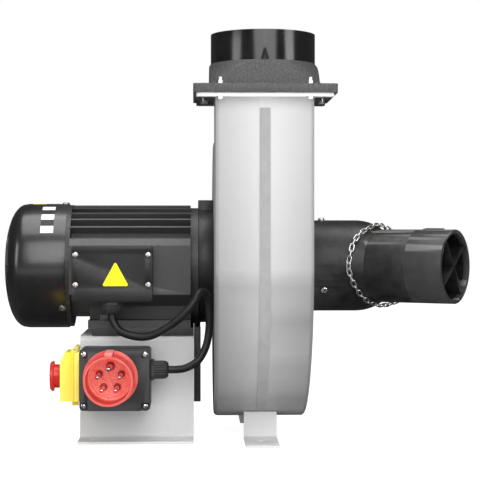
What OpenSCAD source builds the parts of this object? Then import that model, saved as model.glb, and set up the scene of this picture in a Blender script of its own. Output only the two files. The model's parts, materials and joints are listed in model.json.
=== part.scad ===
// Dust extraction fan: a foot-mounted motor turns a paddle wheel in a spiral steel housing.
// A forked inlet takes two hoses, and the outlet collar stands on top.
// Origin on the floor, at the middle of the stand's four floor holes.
// X runs along the shaft towards the inlet, Z is up, and the switch and the power plug face -X and -Y.

/* [Stand] */
// Width of the sheet stand along the shaft
stand_w = 148; // [140:1:180]
// Distance over the stand's front and rear walls
stand_d = 164; // [150:1:180]
// Height of the stand
stand_h = 135.2; // [110:0.1:180]
// Sheet thickness of the stand and the housing's foot brackets
stand_t = 3; // [2:0.5:4]
// Outer radius of the stand's bends
stand_bend = 8; // [5:0.5:12]
// Length of each floor flange
stand_flange = 48; // [40:1:60]
// Spacing of the floor holes along the shaft
floor_hole_x = 106; // [80:1:120]
// Spacing of the floor holes across the shaft
floor_hole_y = 220; // [212:1:230]
// Radius of the floor holes
floor_hole_r = 4.5; // [3:0.5:6]
// Thickness of the bars under the motor's feet
rail_t = 9.5; // [6:0.5:15]
// Width of the bars under the motor's feet
rail_w = 35; // [30:1:38]
// Length of the bars under the motor's feet
rail_l = 133; // [126:1:140]

/* [Motor] */
// Height of the shaft above the motor's feet
shaft_h = 80; // [78:1:90]
// Foot hole spacing along the shaft
foot_hole_x = 100; // [90:1:110]
// Radius of the foot holes
foot_hole_r = 5; // [4.5:0.25:6]
// Outer radius of the finned frame's body
frame_r = 69; // [66:0.5:72]
// Bore radius of the frame
frame_bore_r = 62; // [58:0.5:64]
// Outer radius over the fins
fin_r = 81.6; // [78:0.2:84]
// Thickness of one fin
fin_t = 2.2; // [1.5:0.1:3]
// Angle between neighbouring fins
fin_step = 10; // [8:1:12]
// Length of the frame
frame_l = 158; // [150:1:170]
// Radius of the fan cowl
cowl_r = 83.6; // [80:0.2:86]
// Length of the fan cowl
cowl_l = 85; // [80:1:95]
// Radius of the shaft's drive end
shaft_r = 9.5; // [8:0.5:10]

/* [Spiral housing] */
// Width of the housing along the shaft
volute_w = 121; // [110:1:140]
// Radius of the spiral at the top
scroll_top_r = 169; // [160:1:180]
// Growth of the spiral's radius over one turn
scroll_growth = 64; // [50:1:70]
// Sheet thickness of the housing
volute_t = 2; // [1.5:0.25:2.5]
// Radius of the pressed edges
volute_edge = 5; // [3:0.5:6]
// Height of the outlet flange's seat above the shaft
outlet_rise = 210; // [200:1:225]
// Width of the lap strap over the seam
strap_w = 13; // [8:1:18]

/* [Outlet] */
// Outer radius of the outlet collar
outlet_r = 65.4; // [60:0.2:67]
// Height of the outlet collar's plain part
outlet_collar_h = 37; // [25:1:50]
// Height of the transition between flange and collar
hood_h = 30.5; // [20:0.5:40]
// Size of the outlet flange along the shaft
outlet_flange_x = 175; // [165:1:185]
// Size of the outlet flange across the shaft
outlet_flange_y = 163; // [155:1:170]
// Height of the collar's flange
outlet_flange_h = 11; // [8:0.5:14]

/* [Inlet] */
// Outer radius of the inlet's trunk
trunk_r = 61.5; // [58:0.5:64]
// Length of the trunk, up to the fork's centre
trunk_l = 72.4; // [65:0.2:80]
// Outer radius of each branch and its sleeve
branch_r = 49; // [47:0.5:50]
// Length of a branch from the fork's centre
branch_l = 147; // [140:1:160]
// Angle between a branch and the shaft
branch_angle = 33; // [30:1:36]
// Length of the sleeve on a branch's end
sleeve_l = 52; // [40:1:58]
// Wall thickness of the inlet's plastic parts
plastic_t = 3; // [2.5:0.25:4]

/* [Switch and plug] */
// Width of the plug box along the shaft
box_w = 89.6; // [80:0.2:95]
// Height of the plug box
box_h = 78; // [72:1:85]
// Depth of the plug box's base
box_base_d = 58; // [50:1:65]
// Depth of the plug box's lid
box_lid_d = 14; // [10:1:18]
// Outer radius of the plug's shroud
shroud_r = 30.5; // [29:0.5:32]
// Length of the plug's shroud
shroud_l = 58; // [45:1:62]
// Radius of the circle through the plug's pins
pin_circle_r = 14.6; // [13.5:0.1:15.5]
// Height of the switch's yellow flap
flap_h = 62; // [56:1:66]
// Width of the switch's yellow flap
flap_w = 52; // [46:1:56]
// Radius of the stop mushroom
mushroom_r = 20; // [16:0.5:22]

/* [Hidden] */
$fn = 96;

// Shared clearances and overruns
cut = 1;            // overrun of every cut
seat_gap = 0.3;     // gap between pieces that are seated on each other
run_gap = 0.6;      // gap beside a turning piece
shaft_gap = 1;      // gap round the turning shaft where it passes a wall

// Heights and places along the shaft
rail_top = stand_h + rail_t;
axis_z = rail_top + shaft_h;
motor_x = 7.5;                                  // middle of the motor's foot holes
shoulder_gap = 50;                              // from the last foot hole to the shaft's shoulder
shoulder_x = motor_x + foot_hole_x / 2 + shoulder_gap;
foot_edge = 19.5;                               // from the foot holes to the stand's walls
foot_hole_y = stand_d - 2 * foot_edge;
foot_setback = 12.5;                            // from the foot holes to the frame's drive end
frame_x = motor_x + foot_hole_x / 2 + foot_setback;
frame_x0 = frame_x - frame_l;                   // fan end of the frame
shield_t = 10;
shield_r = 78;
adapter_t = 20.5;
volute_x = frame_x + shield_t + adapter_t;      // motor side of the housing
volute_x1 = volute_x + volute_w;
motor_half_w = 54.2;
seam_x = volute_x + motor_half_w;

// Screws, washers and nuts
m8_r = 4;
m8_head_r = 7;
m8_head_h = 5.3;
m8_washer_r = 8;
m8_washer_t = 1.6;
m5_r = 2.5;
m5_head_r = 4.6;
m5_head_h = 3.5;
m4_r = 2;
m4_head_r = 3.8;
m4_head_h = 2.4;
hex_sides = 6;

// Steps of the long curves
scroll_step = 6;
edge_steps = 4;

module along_x(x) {
    translate([x, 0, axis_z]) rotate([0, 90, 0]) children();
}

module disc(x, length, r) {
    along_x(x) cylinder(h = length, r = r);
}

module ring(x, length, r_out, r_in) {
    difference() {
        disc(x, length, r_out);
        disc(x - cut, length + 2 * cut, r_in);
    }
}

// Turns children from straight up towards the front by an angle about the shaft
module about_shaft(angle) {
    translate([0, 0, axis_z]) rotate([angle, 0, 0]) children();
}

// A cylinder that points to the front, its low end at y
module along_y(x, y, z, length, r) {
    translate([x, y, z]) rotate([-90, 0, 0]) cylinder(h = length, r = r);
}

// A quarter of a sheet bend, from +X to +Z of its own frame, as wide as w along Y
module sheet_bend(r, t, w) {
    translate([0, w / 2, 0]) rotate([90, 0, 0])
        rotate_extrude(angle = 90) translate([r - t, 0]) square([t, w]);
}

module mirror_y() {
    children();
    mirror([0, 1, 0]) children();
}

// A plate standing across Y, with rounded corners in XZ
module rounded_slab(x, y, z, w, d, h, r) {
    translate([x, y, z]) rotate([-90, 0, 0]) linear_extrude(d) rounded_rectangle(w, h, r);
}

module rounded_rectangle(w, h, r) {
    square([w - 2 * r, h], center = true);
    square([w, h - 2 * r], center = true);
    for (i = [-1, 1], j = [-1, 1])
        translate([i * (w / 2 - r), j * (h / 2 - r)]) circle(r = r);
}

/* Stand */
stand_leg_h = stand_h - stand_bend;
flange_bend = stand_bend;                       // outer radius where a leg turns into its flange
flange_flat = stand_flange - flange_bend + stand_t;

module stand_side() {
    y_wall = stand_d / 2;
    translate([-stand_w / 2, y_wall - stand_t, flange_bend])
        cube([stand_w, stand_t, stand_leg_h - flange_bend]);
    // Upper bend
    translate([0, y_wall - stand_bend, stand_h - stand_bend])
        rotate([0, 0, 90]) sheet_bend(stand_bend, stand_t, stand_w);
    // Lower bend, which turns outwards
    translate([0, y_wall - stand_t + flange_bend, flange_bend])
        rotate([0, 0, 90]) rotate([0, 180, 0]) sheet_bend(flange_bend, stand_t, stand_w);
    translate([-stand_w / 2, y_wall - stand_t + flange_bend, 0])
        cube([stand_w, flange_flat, stand_t]);
}

module stand() {
    color("lightgray")
    difference() {
        union() {
            mirror_y() stand_side();
            translate([-stand_w / 2, -stand_d / 2 + stand_bend, stand_h - stand_t])
                cube([stand_w, stand_d - 2 * stand_bend, stand_t]);
        }
        for (i = [-1, 1], j = [-1, 1]) {
            translate([i * floor_hole_x / 2, j * floor_hole_y / 2, -cut])
                cylinder(h = stand_t + 2 * cut, r = floor_hole_r);
            translate([motor_x + i * foot_hole_x / 2, j * foot_hole_y / 2, stand_h - stand_t - cut])
                cylinder(h = stand_t + 2 * cut, r = foot_hole_r);
        }
    }
}

// Bent plate that closes the stand's side below the housing
side_plate_t = 3;
side_plate_lip = 9;
side_plate_z = 46.3;
side_plate_top_gap = -10;                       // it reaches above the stand's top
side_plate_d = 120;

module side_plate() {
    x = stand_w / 2 + seat_gap;
    h = stand_h - side_plate_top_gap - side_plate_z;
    color("dimgray")
    translate([x, 0, side_plate_z]) {
        translate([0, -side_plate_d / 2, 0]) cube([side_plate_t, side_plate_d, h]);
        mirror_y() translate([0, -side_plate_d / 2, 0]) cube([side_plate_lip, side_plate_t, h]);
    }
}

module motor_rails() {
    color("dimgray")
    difference() {
        mirror_y() translate([motor_x - rail_l / 2, (foot_hole_y - rail_w) / 2, stand_h])
            cube([rail_l, rail_w, rail_t]);
        for (i = [-1, 1], j = [-1, 1])
            translate([motor_x + i * foot_hole_x / 2, j * foot_hole_y / 2, stand_h - cut])
                cylinder(h = rail_t + 2 * cut, r = foot_hole_r);
    }
}

/* Motor */
foot_t = 10;
foot_l = 134;
foot_w = 158;
pad_y = 88;                                     // distance of the terminal pad's face from the shaft
pad_h = 64;
pad_bevel = 9;
pad_drop = 4;                                   // middle of the pad under the shaft
pad_z = axis_z - pad_drop;
fin_root = 2;                                   // how deep a fin starts inside the body
stator_l = 80;
stator_x = motor_x - foot_setback - stator_l / 2;
stator_bore_r = 38.6;
winding_l = 20;
winding_r = 58;
winding_bore_r = 42;
rotor_gap = 0.6;
bearing_r = 23.5;
bearing_bore_r = 10;
bearing_w = 14;
race_t = 4.2;
ball_r = 3.2;
ball_count = 8;
bearing_x = [frame_x0 - shield_t + race_t, frame_x - bearing_w + shield_t / 2];
hub_r = 30;
hub_l = 20;
// Fins stand clear of the feet and of the terminal pad
fin_first = -110;
fin_last = 110;
pad_fin_first = 55;
pad_fin_last = 115;

module foot_holes(z, length) {
    for (i = [-1, 1], j = [-1, 1])
        translate([motor_x + i * foot_hole_x / 2, j * foot_hole_y / 2, z])
            cylinder(h = length, r = foot_hole_r);
}

module motor_feet() {
    x = frame_x - foot_l;
    difference() {
        union() {
            translate([x, -foot_w / 2, rail_top]) cube([foot_l, foot_w, foot_t]);
            mirror_y() translate([x, frame_r / 2, rail_top]) cube([foot_l, foot_t, shaft_h / 2]);
        }
        foot_holes(rail_top - cut, foot_t + 2 * cut);
    }
}

module terminal_pad() {
    rotate([90, 0, 90]) translate([0, 0, frame_x0]) linear_extrude(frame_l) polygon([
        [0, pad_z - pad_h / 2],
        [-pad_y, pad_z - pad_h / 2],
        [-pad_y, pad_z + pad_h / 2],
        [-pad_y + pad_bevel, pad_z + pad_h / 2 + pad_bevel],
        [0, pad_z + pad_h / 2 + pad_bevel]
    ]);
}

module motor_frame() {
    color("dimgray")
    difference() {
        union() {
            disc(frame_x0, frame_l, frame_r);
            for (a = [fin_first : fin_step : fin_last])
                if (a < pad_fin_first || a > pad_fin_last)
                    about_shaft(a) translate([frame_x0, -fin_t / 2, frame_r - fin_root])
                        cube([frame_l, fin_t, fin_r - frame_r + fin_root]);
            motor_feet();
            terminal_pad();
        }
        disc(frame_x0 - cut, frame_l + 2 * cut, frame_bore_r);
        // Passage for the winding's leads
        along_y(terminal_x, -pad_y - cut, pad_z, pad_y - frame_bore_r + foot_t + cut, lead_hole_r);
    }
}

bolt_below = rail_t + stand_t;

module foot_bolts() {
    color("silver")
    for (i = [-1, 1], j = [-1, 1])
        translate([motor_x + i * foot_hole_x / 2, j * foot_hole_y / 2, rail_top + foot_t]) {
            cylinder(h = m8_washer_t, r = m8_washer_r);
            translate([0, 0, m8_washer_t]) cylinder(h = m8_head_h, r = m8_head_r, $fn = hex_sides);
            translate([0, 0, -foot_t - bolt_below - m8_head_h]) {
                cylinder(h = foot_t + bolt_below + m8_head_h, r = m8_r);
                cylinder(h = m8_head_h, r = m8_head_r, $fn = hex_sides);
            }
        }
}

// Terminal box on the front of the frame
terminal_x = -30.3;
terminal_w = 103;
terminal_h = 70.8;
terminal_drop = 7.9;                            // middle of the box under the shaft
terminal_z = axis_z - terminal_drop;
terminal_d = 31;
terminal_lid_t = 6;
terminal_wall = 3;
terminal_corner = 4;
terminal_screw_x = 93;
terminal_screw_z = 38.5;
terminal_screw_up = 5;
lead_hole_r = 12;
terminal_lid_y = -pad_y - terminal_d - terminal_lid_t;

module terminal_box() {
    color("dimgray")
    difference() {
        rounded_slab(terminal_x, -pad_y - terminal_d, terminal_z, terminal_w, terminal_d, terminal_h,
            terminal_corner);
        rounded_slab(terminal_x, -pad_y - terminal_d - cut, terminal_z, terminal_w - 4 * terminal_wall,
            terminal_d - terminal_wall + cut, terminal_h - 2 * terminal_wall, terminal_wall);
        along_y(terminal_x, -pad_y - terminal_wall - cut, pad_z, terminal_wall + 2 * cut, lead_hole_r);
        translate([terminal_x, gland_y, terminal_z - terminal_h / 2 - cut])
            cylinder(h = terminal_wall + 2 * cut, r = gland_thread_r + seat_gap);
    }
}

module terminal_screw_places() {
    for (i = [-1, 1], j = [-1, 1])
        translate([
            terminal_x + i * terminal_screw_x / 2,
            terminal_lid_y,
            terminal_z + terminal_screw_up + j * terminal_screw_z / 2
        ])
        children();
}

screw_well = 1.6;

module terminal_lid() {
    color("dimgray")
    difference() {
        rounded_slab(terminal_x, terminal_lid_y, terminal_z, terminal_w, terminal_lid_t, terminal_h,
            terminal_corner);
        rounded_slab(terminal_x, terminal_lid_y + terminal_wall, terminal_z, terminal_w - 8 * terminal_wall,
            terminal_lid_t, terminal_h - 2 * terminal_wall, terminal_wall);
        terminal_screw_places() along_y(0, -cut, 0, screw_well + cut, m4_head_r + screw_well);
        terminal_screw_places() along_y(0, -cut, 0, terminal_lid_t + 2 * cut, m4_r + seat_gap);
    }
}

module terminal_lid_screws() {
    color("silver")
    terminal_screw_places() {
        along_y(0, screw_well - m4_head_h, 0, m4_head_h, m4_head_r);
        along_y(0, screw_well, 0, terminal_lid_t - screw_well, m4_r);
    }
}

// Cable glands: a thread in the wall, a hexagon, a round nut and a tapered mouth
gland_thread_r = 10;
gland_thread_l = 6;
gland_hex_r = 13.8;
gland_hex_l = 5;
gland_nut_r = 11.8;
gland_mouth_r = 7.5;
gland_mouth_l = 4;
cable_r = 5;
terminal_gland_l = 16.6;
box_gland_l = 23;
gland_y = -106;
terminal_gland_z = terminal_z - terminal_h / 2;

// A gland of length l outside the wall, its mouth along +Z
module gland(l) {
    difference() {
        union() {
            translate([0, 0, -gland_thread_l]) cylinder(h = gland_thread_l, r = gland_thread_r);
            cylinder(h = gland_hex_l, r = gland_hex_r, $fn = hex_sides);
            cylinder(h = l - gland_mouth_l, r = gland_nut_r);
            translate([0, 0, l - gland_mouth_l])
                cylinder(h = gland_mouth_l, r1 = gland_nut_r, r2 = gland_mouth_r);
        }
        translate([0, 0, -gland_thread_l - cut])
            cylinder(h = l + gland_thread_l + 2 * cut, r = cable_r - seat_gap);
    }
}

module terminal_gland() {
    color("dimgray")
    translate([terminal_x, gland_y, terminal_gland_z]) rotate([180, 0, 0]) gland(terminal_gland_l);
}

board_w = 60;
board_h = 36;
board_t = 8;
stud_r = 2.5;
stud_l = 9;

module terminal_board() {
    y = -pad_y - terminal_wall - board_t;
    color("saddlebrown")
    translate([terminal_x - board_w / 2, y, terminal_z - board_h / 2 + lead_hole_r])
        cube([board_w, board_t, board_h / 2]);
    color("gold")
    for (i = [-1, 0, 1])
        along_y(terminal_x + i * board_w / 3, y - stud_l, terminal_z + lead_hole_r - board_h / 4,
            stud_l, stud_r);
}

module drive_end_shield() {
    color("dimgray")
    difference() {
        union() {
            disc(frame_x, shield_t, shield_r);
            disc(frame_x - hub_l + shield_t, hub_l, hub_r);
            disc(frame_x - shield_t / 2, shield_t, frame_bore_r - seat_gap);
        }
        disc(bearing_x[1] - hub_l, bearing_w + hub_l, bearing_r);
        disc(frame_x - cut, shield_t + 2 * cut, bearing_bore_r + shaft_gap);
        ring(frame_x - hub_l, hub_l - cut, frame_bore_r + cut, hub_r + shield_t * 2);
    }
}

module fan_end_shield() {
    color("dimgray")
    difference() {
        union() {
            disc(frame_x0 - shield_t, shield_t, cowl_r - cowl_t - seat_gap);
            disc(frame_x0 - shield_t, hub_l, hub_r);
        }
        disc(bearing_x[0], bearing_w + hub_l, bearing_r);
        disc(frame_x0 - shield_t - cut, shield_t + 2 * cut, tail_r + shaft_gap);
    }
}

module bearing_outer_rings() {
    color("silver")
    for (x = bearing_x) difference() {
        ring(x, bearing_w, bearing_r, bearing_r - race_t);
        ball_groove(x);
    }
}

ball_path_r = (bearing_r + bearing_bore_r) / 2;

module ball_groove(x) {
    along_x(x + bearing_w / 2) rotate_extrude() translate([ball_path_r, 0]) circle(r = ball_r + seat_gap);
}

module bearing_inner_rings() {
    color("silver")
    for (x = bearing_x) difference() {
        ring(x, bearing_w, bearing_bore_r + race_t, bearing_bore_r);
        ball_groove(x);
    }
}

module bearing_balls() {
    color("silver")
    for (x = bearing_x, i = [0 : ball_count - 1])
        about_shaft(i * 360 / ball_count) translate([x + bearing_w / 2, 0, ball_path_r]) sphere(r = ball_r);
}

module stator_core() {
    color("gray") ring(stator_x, stator_l, frame_bore_r - seat_gap, stator_bore_r);
}

module stator_windings() {
    color("peru")
    for (x = [stator_x - winding_l, stator_x + stator_l]) ring(x, winding_l, winding_r, winding_bore_r);
}

// Fan cowl, domed at its end like a flattened ellipse
cowl_t = 1.2;
cowl_overlap = 4;                               // how far the cowl reaches over the shield
cowl_x1 = frame_x0 - shield_t + cowl_overlap;
cowl_x0 = cowl_x1 - cowl_l;
dome_depth = 31.8;
dome_power = 2.4;
dome_shares = [0, 0.2, 0.36, 0.5, 0.62, 0.72, 0.8, 0.87, 0.92, 0.96, 0.985, 1];
slot_rings = [18, 32, 46, 60];
slot_t = 5;
slot_web = 4;

function dome_inset(share, depth) = depth * (1 - pow(1 - pow(share, dome_power), 1 / dome_power));

module dome(r, depth, length) {
    rotate_extrude() polygon(concat(
        [[0, length]],
        [for (s = dome_shares) [s * r, dome_inset(s, depth)]],
        [[r, length]]
    ));
}

module fan_cowl() {
    color([0.1, 0.1, 0.1])
    difference() {
        along_x(cowl_x0) dome(cowl_r, dome_depth, cowl_l);
        along_x(cowl_x0 + cowl_t) dome(cowl_r - cowl_t, dome_depth, cowl_l);
        for (r = slot_rings) difference() {
            ring(cowl_x0 - cut, dome_depth / 2, r + slot_t / 2, r - slot_t / 2);
            for (a = [0 : 45 : 135])
                about_shaft(a) translate([cowl_x0 - 2 * cut, -slot_web / 2, -cowl_r])
                    cube([dome_depth, slot_web, 2 * cowl_r]);
        }
    }
}

cowl_screw_angle = 130.5;

module cowl_screws() {
    color("silver")
    for (a = [0, cowl_screw_angle, -cowl_screw_angle])
        about_shaft(a) translate([cowl_x1 - cowl_overlap / 2 - m5_r, 0, cowl_r])
            cylinder(h = m4_head_h, r = m5_head_r);
}

// Ring between the motor and the housing, with a fixing lug on top
adapter_r = 77;
adapter_bore_r = 52;
adapter_lug_r = 88.5;
adapter_lug_w = 34;
adapter_screw_r = 68;

module adapter_ring() {
    color("dimgray")
    difference() {
        union() {
            disc(frame_x + shield_t, adapter_t, adapter_r);
            translate([frame_x + shield_t, -adapter_lug_w / 2, axis_z])
                cube([adapter_t, adapter_lug_w, adapter_lug_r]);
        }
        disc(frame_x + shield_t - cut, adapter_t + 2 * cut, adapter_bore_r);
    }
}

// Screws through the housing's wall into the adapter, their heads inside
module adapter_screws() {
    color("silver")
    for (a = [45 : 90 : 315])
        about_shaft(a) translate([volute_x + volute_t, 0, adapter_screw_r]) rotate([0, 90, 0])
            cylinder(h = m5_head_h, r = m5_head_r, $fn = hex_sides);
}

/* Spiral housing. Outlines are in (y, z) about the shaft. */
tongue_angle = 36;
neck_front = -(scroll_top_r + scroll_growth * 0.75);
neck_back = -(scroll_top_r - scroll_growth * tongue_angle / 360) * sin(tongue_angle);
outlet_y = (neck_front + neck_back) / 2;
outlet_x = volute_x + volute_w / 2;
outlet_z = axis_z + outlet_rise;
housing_hole_r = 50;
eye_r = 55;

function scroll_r(a) = scroll_top_r + scroll_growth * a / 360;

// Outline of the housing, drawn in by an inset, with its open end at a height over the shaft
function outline(inset, top) = concat(
    [for (z = [top, (scroll_r(-tongue_angle) - inset) * cos(tongue_angle)]) [neck_back - inset, z]],
    [for (a = [scroll_step - tongue_angle : scroll_step : 270]) (scroll_r(a) - inset) * [sin(a), cos(a)]],
    [[neck_front + inset, top]]
);

// Rings of the pressed edge, as [x, inset], from the side wall at x = 0 to the rim
function edge_rings() = [for (i = [0 : edge_steps])
    let(b = 90 * i / edge_steps)
    volute_edge * [1 - cos(b), 1 - sin(b)]];

// Cutter that rounds the edge between the side wall and the rim, a closed band swept along the outline
module edge_cutter(top) {
    rings = concat(edge_rings(), [[volute_edge, -cut], [-cut, -cut], [-cut, volute_edge]]);
    n = len(outline(0, top));
    m = len(rings);
    points = [for (r = rings) for (p = outline(r[1], top)) [r[0], p[0], p[1]]];
    sides = [for (k = [0 : m - 1]) for (i = [0 : n - 2])
        let(a = k * n + i, b = ((k + 1) % m) * n + i)
        each [[b, a + 1, a], [b, b + 1, a + 1]]];
    polyhedron(points, concat(
        sides,
        [[for (k = [m - 1 : -1 : 0]) k * n]],
        [[for (k = [0 : m - 1]) k * n + n - 1]]
    ));
}

// One pressed half, its side wall at x = 0
module housing_half(width, hole_r) {
    difference() {
        rotate([90, 0, 90]) linear_extrude(width) polygon(outline(0, outlet_rise));
        edge_cutter(outlet_rise + cut);
        translate([volute_t, 0, 0]) rotate([90, 0, 90]) linear_extrude(width)
            polygon(outline(volute_t, outlet_rise + cut));
        translate([-cut, 0, 0]) rotate([0, 90, 0]) cylinder(h = volute_t + 2 * cut, r = hole_r);
    }
}

module housing_motor_half() {
    color("darkgray") translate([volute_x, 0, axis_z]) housing_half(seam_x - volute_x, housing_hole_r);
}

module housing_inlet_half() {
    color("darkgray")
    translate([volute_x1, 0, axis_z]) mirror([1, 0, 0]) housing_half(volute_x1 - seam_x, eye_r);
}

// Thin strap welded over the seam, from the tongue round to below the outlet flange
strap_t = 0.8;

module seam_strap() {
    color("darkgray")
    translate([seam_x, 0, axis_z]) rotate([90, 0, 90]) linear_extrude(strap_w) difference() {
        polygon(outline(-strap_t, outlet_rise - strap_w));
        polygon(outline(0, outlet_rise - strap_w + cut));
    }
}

// Foot brackets below the housing: a floor flange, a leg, and a tab that lies along one facet of the shell
bracket_w = 43;
bracket_leg_y = 82;
bracket_flange_l = 87;
bracket_hole_y = 45;                            // from the leg's outer face to the hole
bracket_tab_l = 16;
bracket_facets = [204, 156];                    // outer ends of the two facets, front and rear

function scroll_point(a) = [abs(scroll_r(a) * sin(a)), axis_z + scroll_r(a) * cos(a)];

// Height of the facet's line at y, lowered by the seat's gap
function facet_z(p, q, y) = p[1] + (q[1] - p[1]) * (y - p[0]) / (q[0] - p[0]) - seat_gap - strap_t;

// Drawn at the rear, from the facet's outer end p to its inner end q
module foot_bracket(p, q) {
    leg_in = bracket_leg_y - stand_t;
    tab_in = bracket_leg_y - bracket_tab_l;
    difference() {
        translate([outlet_x - bracket_w / 2, 0, 0]) rotate([90, 0, 90]) linear_extrude(bracket_w) polygon([
            [leg_in, 0],
            [bracket_leg_y + bracket_flange_l, 0],
            [bracket_leg_y + bracket_flange_l, stand_t],
            [bracket_leg_y, stand_t],
            [bracket_leg_y, facet_z(p, q, bracket_leg_y)],
            [tab_in, facet_z(p, q, tab_in)],
            [tab_in, facet_z(p, q, tab_in) - stand_t],
            [leg_in, facet_z(p, q, leg_in) - stand_t]
        ]);
        translate([outlet_x, bracket_leg_y + bracket_hole_y, -cut])
            cylinder(h = stand_t + 2 * cut, r = floor_hole_r);
    }
}

module front_foot() {
    a = bracket_facets[0];
    color("gainsboro") mirror([0, 1, 0]) foot_bracket(scroll_point(a), scroll_point(a - scroll_step));
}

module rear_foot() {
    a = bracket_facets[1];
    color("gainsboro") foot_bracket(scroll_point(a), scroll_point(a + scroll_step));
}

/* Outlet */
seat_flange_t = 4;
seat_flange_margin = 4;
seat_flange_side = 2;
neck_d = neck_back - neck_front;
flange_pocket_h = 6;
flange_rib_t = 3;
flange_pockets = 4;
outlet_wall = 3;
hood_r = 90;
hood_half_x = 67.5;
hood_half_y = 65.2;
flange_corner = 6;
outlet_bolt_x = 54.6;
outlet_bolt_y = 73.5;
outlet_bolt_side = 74;
collar_z = outlet_z + outlet_flange_h + seat_flange_t;

module outlet_slab(z, w, d, h, r) {
    translate([outlet_x, outlet_y, z]) linear_extrude(h) rounded_rectangle(w, d, r);
}

// Frame welded to the neck: a wide strip at the front and rear, and a narrow one at each side
module outlet_flange() {
    color("gainsboro")
    difference() {
        union() {
            difference() {
                outlet_slab(outlet_z, outlet_flange_x - 2 * seat_flange_margin,
                    outlet_flange_y - 2 * seat_flange_margin, seat_flange_t, flange_corner);
                outlet_slab(outlet_z - cut, outlet_flange_x, neck_d, seat_flange_t + 2 * cut, flange_corner);
            }
            outlet_slab(outlet_z, volute_w + 2 * seat_flange_side, neck_d + flange_corner, seat_flange_t,
                seat_flange_side);
        }
        translate([outlet_x, outlet_y, outlet_z - cut]) linear_extrude(seat_flange_t + 2 * cut)
            square([volute_w - 2 * volute_t, neck_d - 2 * volute_t], center = true);
        outlet_bolt_places() translate([0, 0, outlet_z - cut])
            cylinder(h = seat_flange_t + 2 * cut, r = m5_r + seat_gap);
    }
}

module outlet_bolt_places() {
    for (i = [-1, 1]) {
        for (j = [-1, 1])
            translate([outlet_x + i * outlet_bolt_x, outlet_y + j * outlet_bolt_y, 0]) children();
        translate([outlet_x + i * outlet_bolt_side, outlet_y, 0]) children();
    }
}

module outlet_collar() {
    flange_z = outlet_z + seat_flange_t;
    color([0.15, 0.15, 0.15])
    difference() {
        union() {
            outlet_slab(flange_z, outlet_flange_x, outlet_flange_y, outlet_flange_h, flange_corner);
            translate([outlet_x, outlet_y, collar_z]) intersection() {
                cylinder(h = hood_h, r1 = hood_r, r2 = outlet_r);
                translate([-hood_half_x, -hood_half_y, 0]) cube([2 * hood_half_x, 2 * hood_half_y, hood_h]);
            }
            translate([outlet_x, outlet_y, collar_z + hood_h]) cylinder(h = outlet_collar_h, r = outlet_r);
        }
        translate([outlet_x, outlet_y, collar_z + hood_h - cut])
            cylinder(h = outlet_collar_h + 2 * cut, r = outlet_r - outlet_wall);
        translate([outlet_x, outlet_y, flange_z - cut]) intersection() {
            cylinder(h = outlet_flange_h + hood_h + cut, r1 = hood_r + outlet_flange_h - outlet_wall,
                r2 = outlet_r - outlet_wall);
            translate([-(volute_w / 2 - volute_t), -(hood_half_y - outlet_wall), 0])
                cube([
                    volute_w - 2 * volute_t,
                    2 * (hood_half_y - outlet_wall),
                    outlet_flange_h + hood_h + cut
                ]);
        }
        outlet_bolt_places() translate([0, 0, flange_z - cut])
            cylinder(h = outlet_flange_h + 2 * cut, r = m5_r + seat_gap);
        for (i = [-1, 1]) flange_side_pockets(i, flange_z);
    }
}

// Pockets between ribs under the collar flange's overhang at one side; side is -1 or 1
module flange_side_pockets(side, z) {
    reach = (outlet_flange_x - volute_w) / 2 - 2 * flange_rib_t - seat_flange_side;
    pitch = (neck_d - flange_rib_t) / flange_pockets;
    for (k = [0 : flange_pockets - 1])
        if (k != flange_pockets / 2)
            translate([
                outlet_x + side * ((outlet_flange_x - reach) / 2 - flange_rib_t) - reach / 2,
                neck_front + flange_rib_t + k * pitch,
                z - cut
            ])
            cube([reach, pitch - flange_rib_t, flange_pocket_h + cut]);
}

bolt_tip = 4;
nut_h = 4;

module outlet_bolts() {
    color("silver")
    outlet_bolt_places() {
        translate([0, 0, outlet_z - m5_head_h]) cylinder(h = m5_head_h, r = m5_head_r, $fn = hex_sides);
        translate([0, 0, outlet_z - m5_head_h])
            cylinder(h = m5_head_h + seat_flange_t + outlet_flange_h + nut_h + bolt_tip, r = m5_r);
        translate([0, 0, collar_z]) cylinder(h = nut_h, r = m5_head_r, $fn = hex_sides);
    }
}

/* Inlet */
nozzle_flange_t = 2;
nozzle_r = 52;
nozzle_l = 14;
nozzle_wall = 2;
fork_x = volute_x1 + trunk_l;

module inlet_nozzle() {
    color("darkgray") {
        ring(volute_x1, nozzle_flange_t, trunk_r - plastic_t - seat_gap, nozzle_r - nozzle_wall);
        ring(volute_x1 - nozzle_l, nozzle_l + nozzle_flange_t, nozzle_r, nozzle_r - nozzle_wall);
    }
}

// Lays children along a branch, their +Z pointing out of it; side is -1 at the front and 1 at the rear
module along_branch(side) {
    translate([fork_x, 0, axis_z]) rotate([0, 0, side * branch_angle]) rotate([0, 90, 0]) children();
}

fork_seat = branch_l - sleeve_l;                // a branch ends at its seat, under the sleeve
fork_neck = 26;                                 // how deep a branch ends inside the sleeve
fork_wall_r = branch_r - plastic_t;

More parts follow.
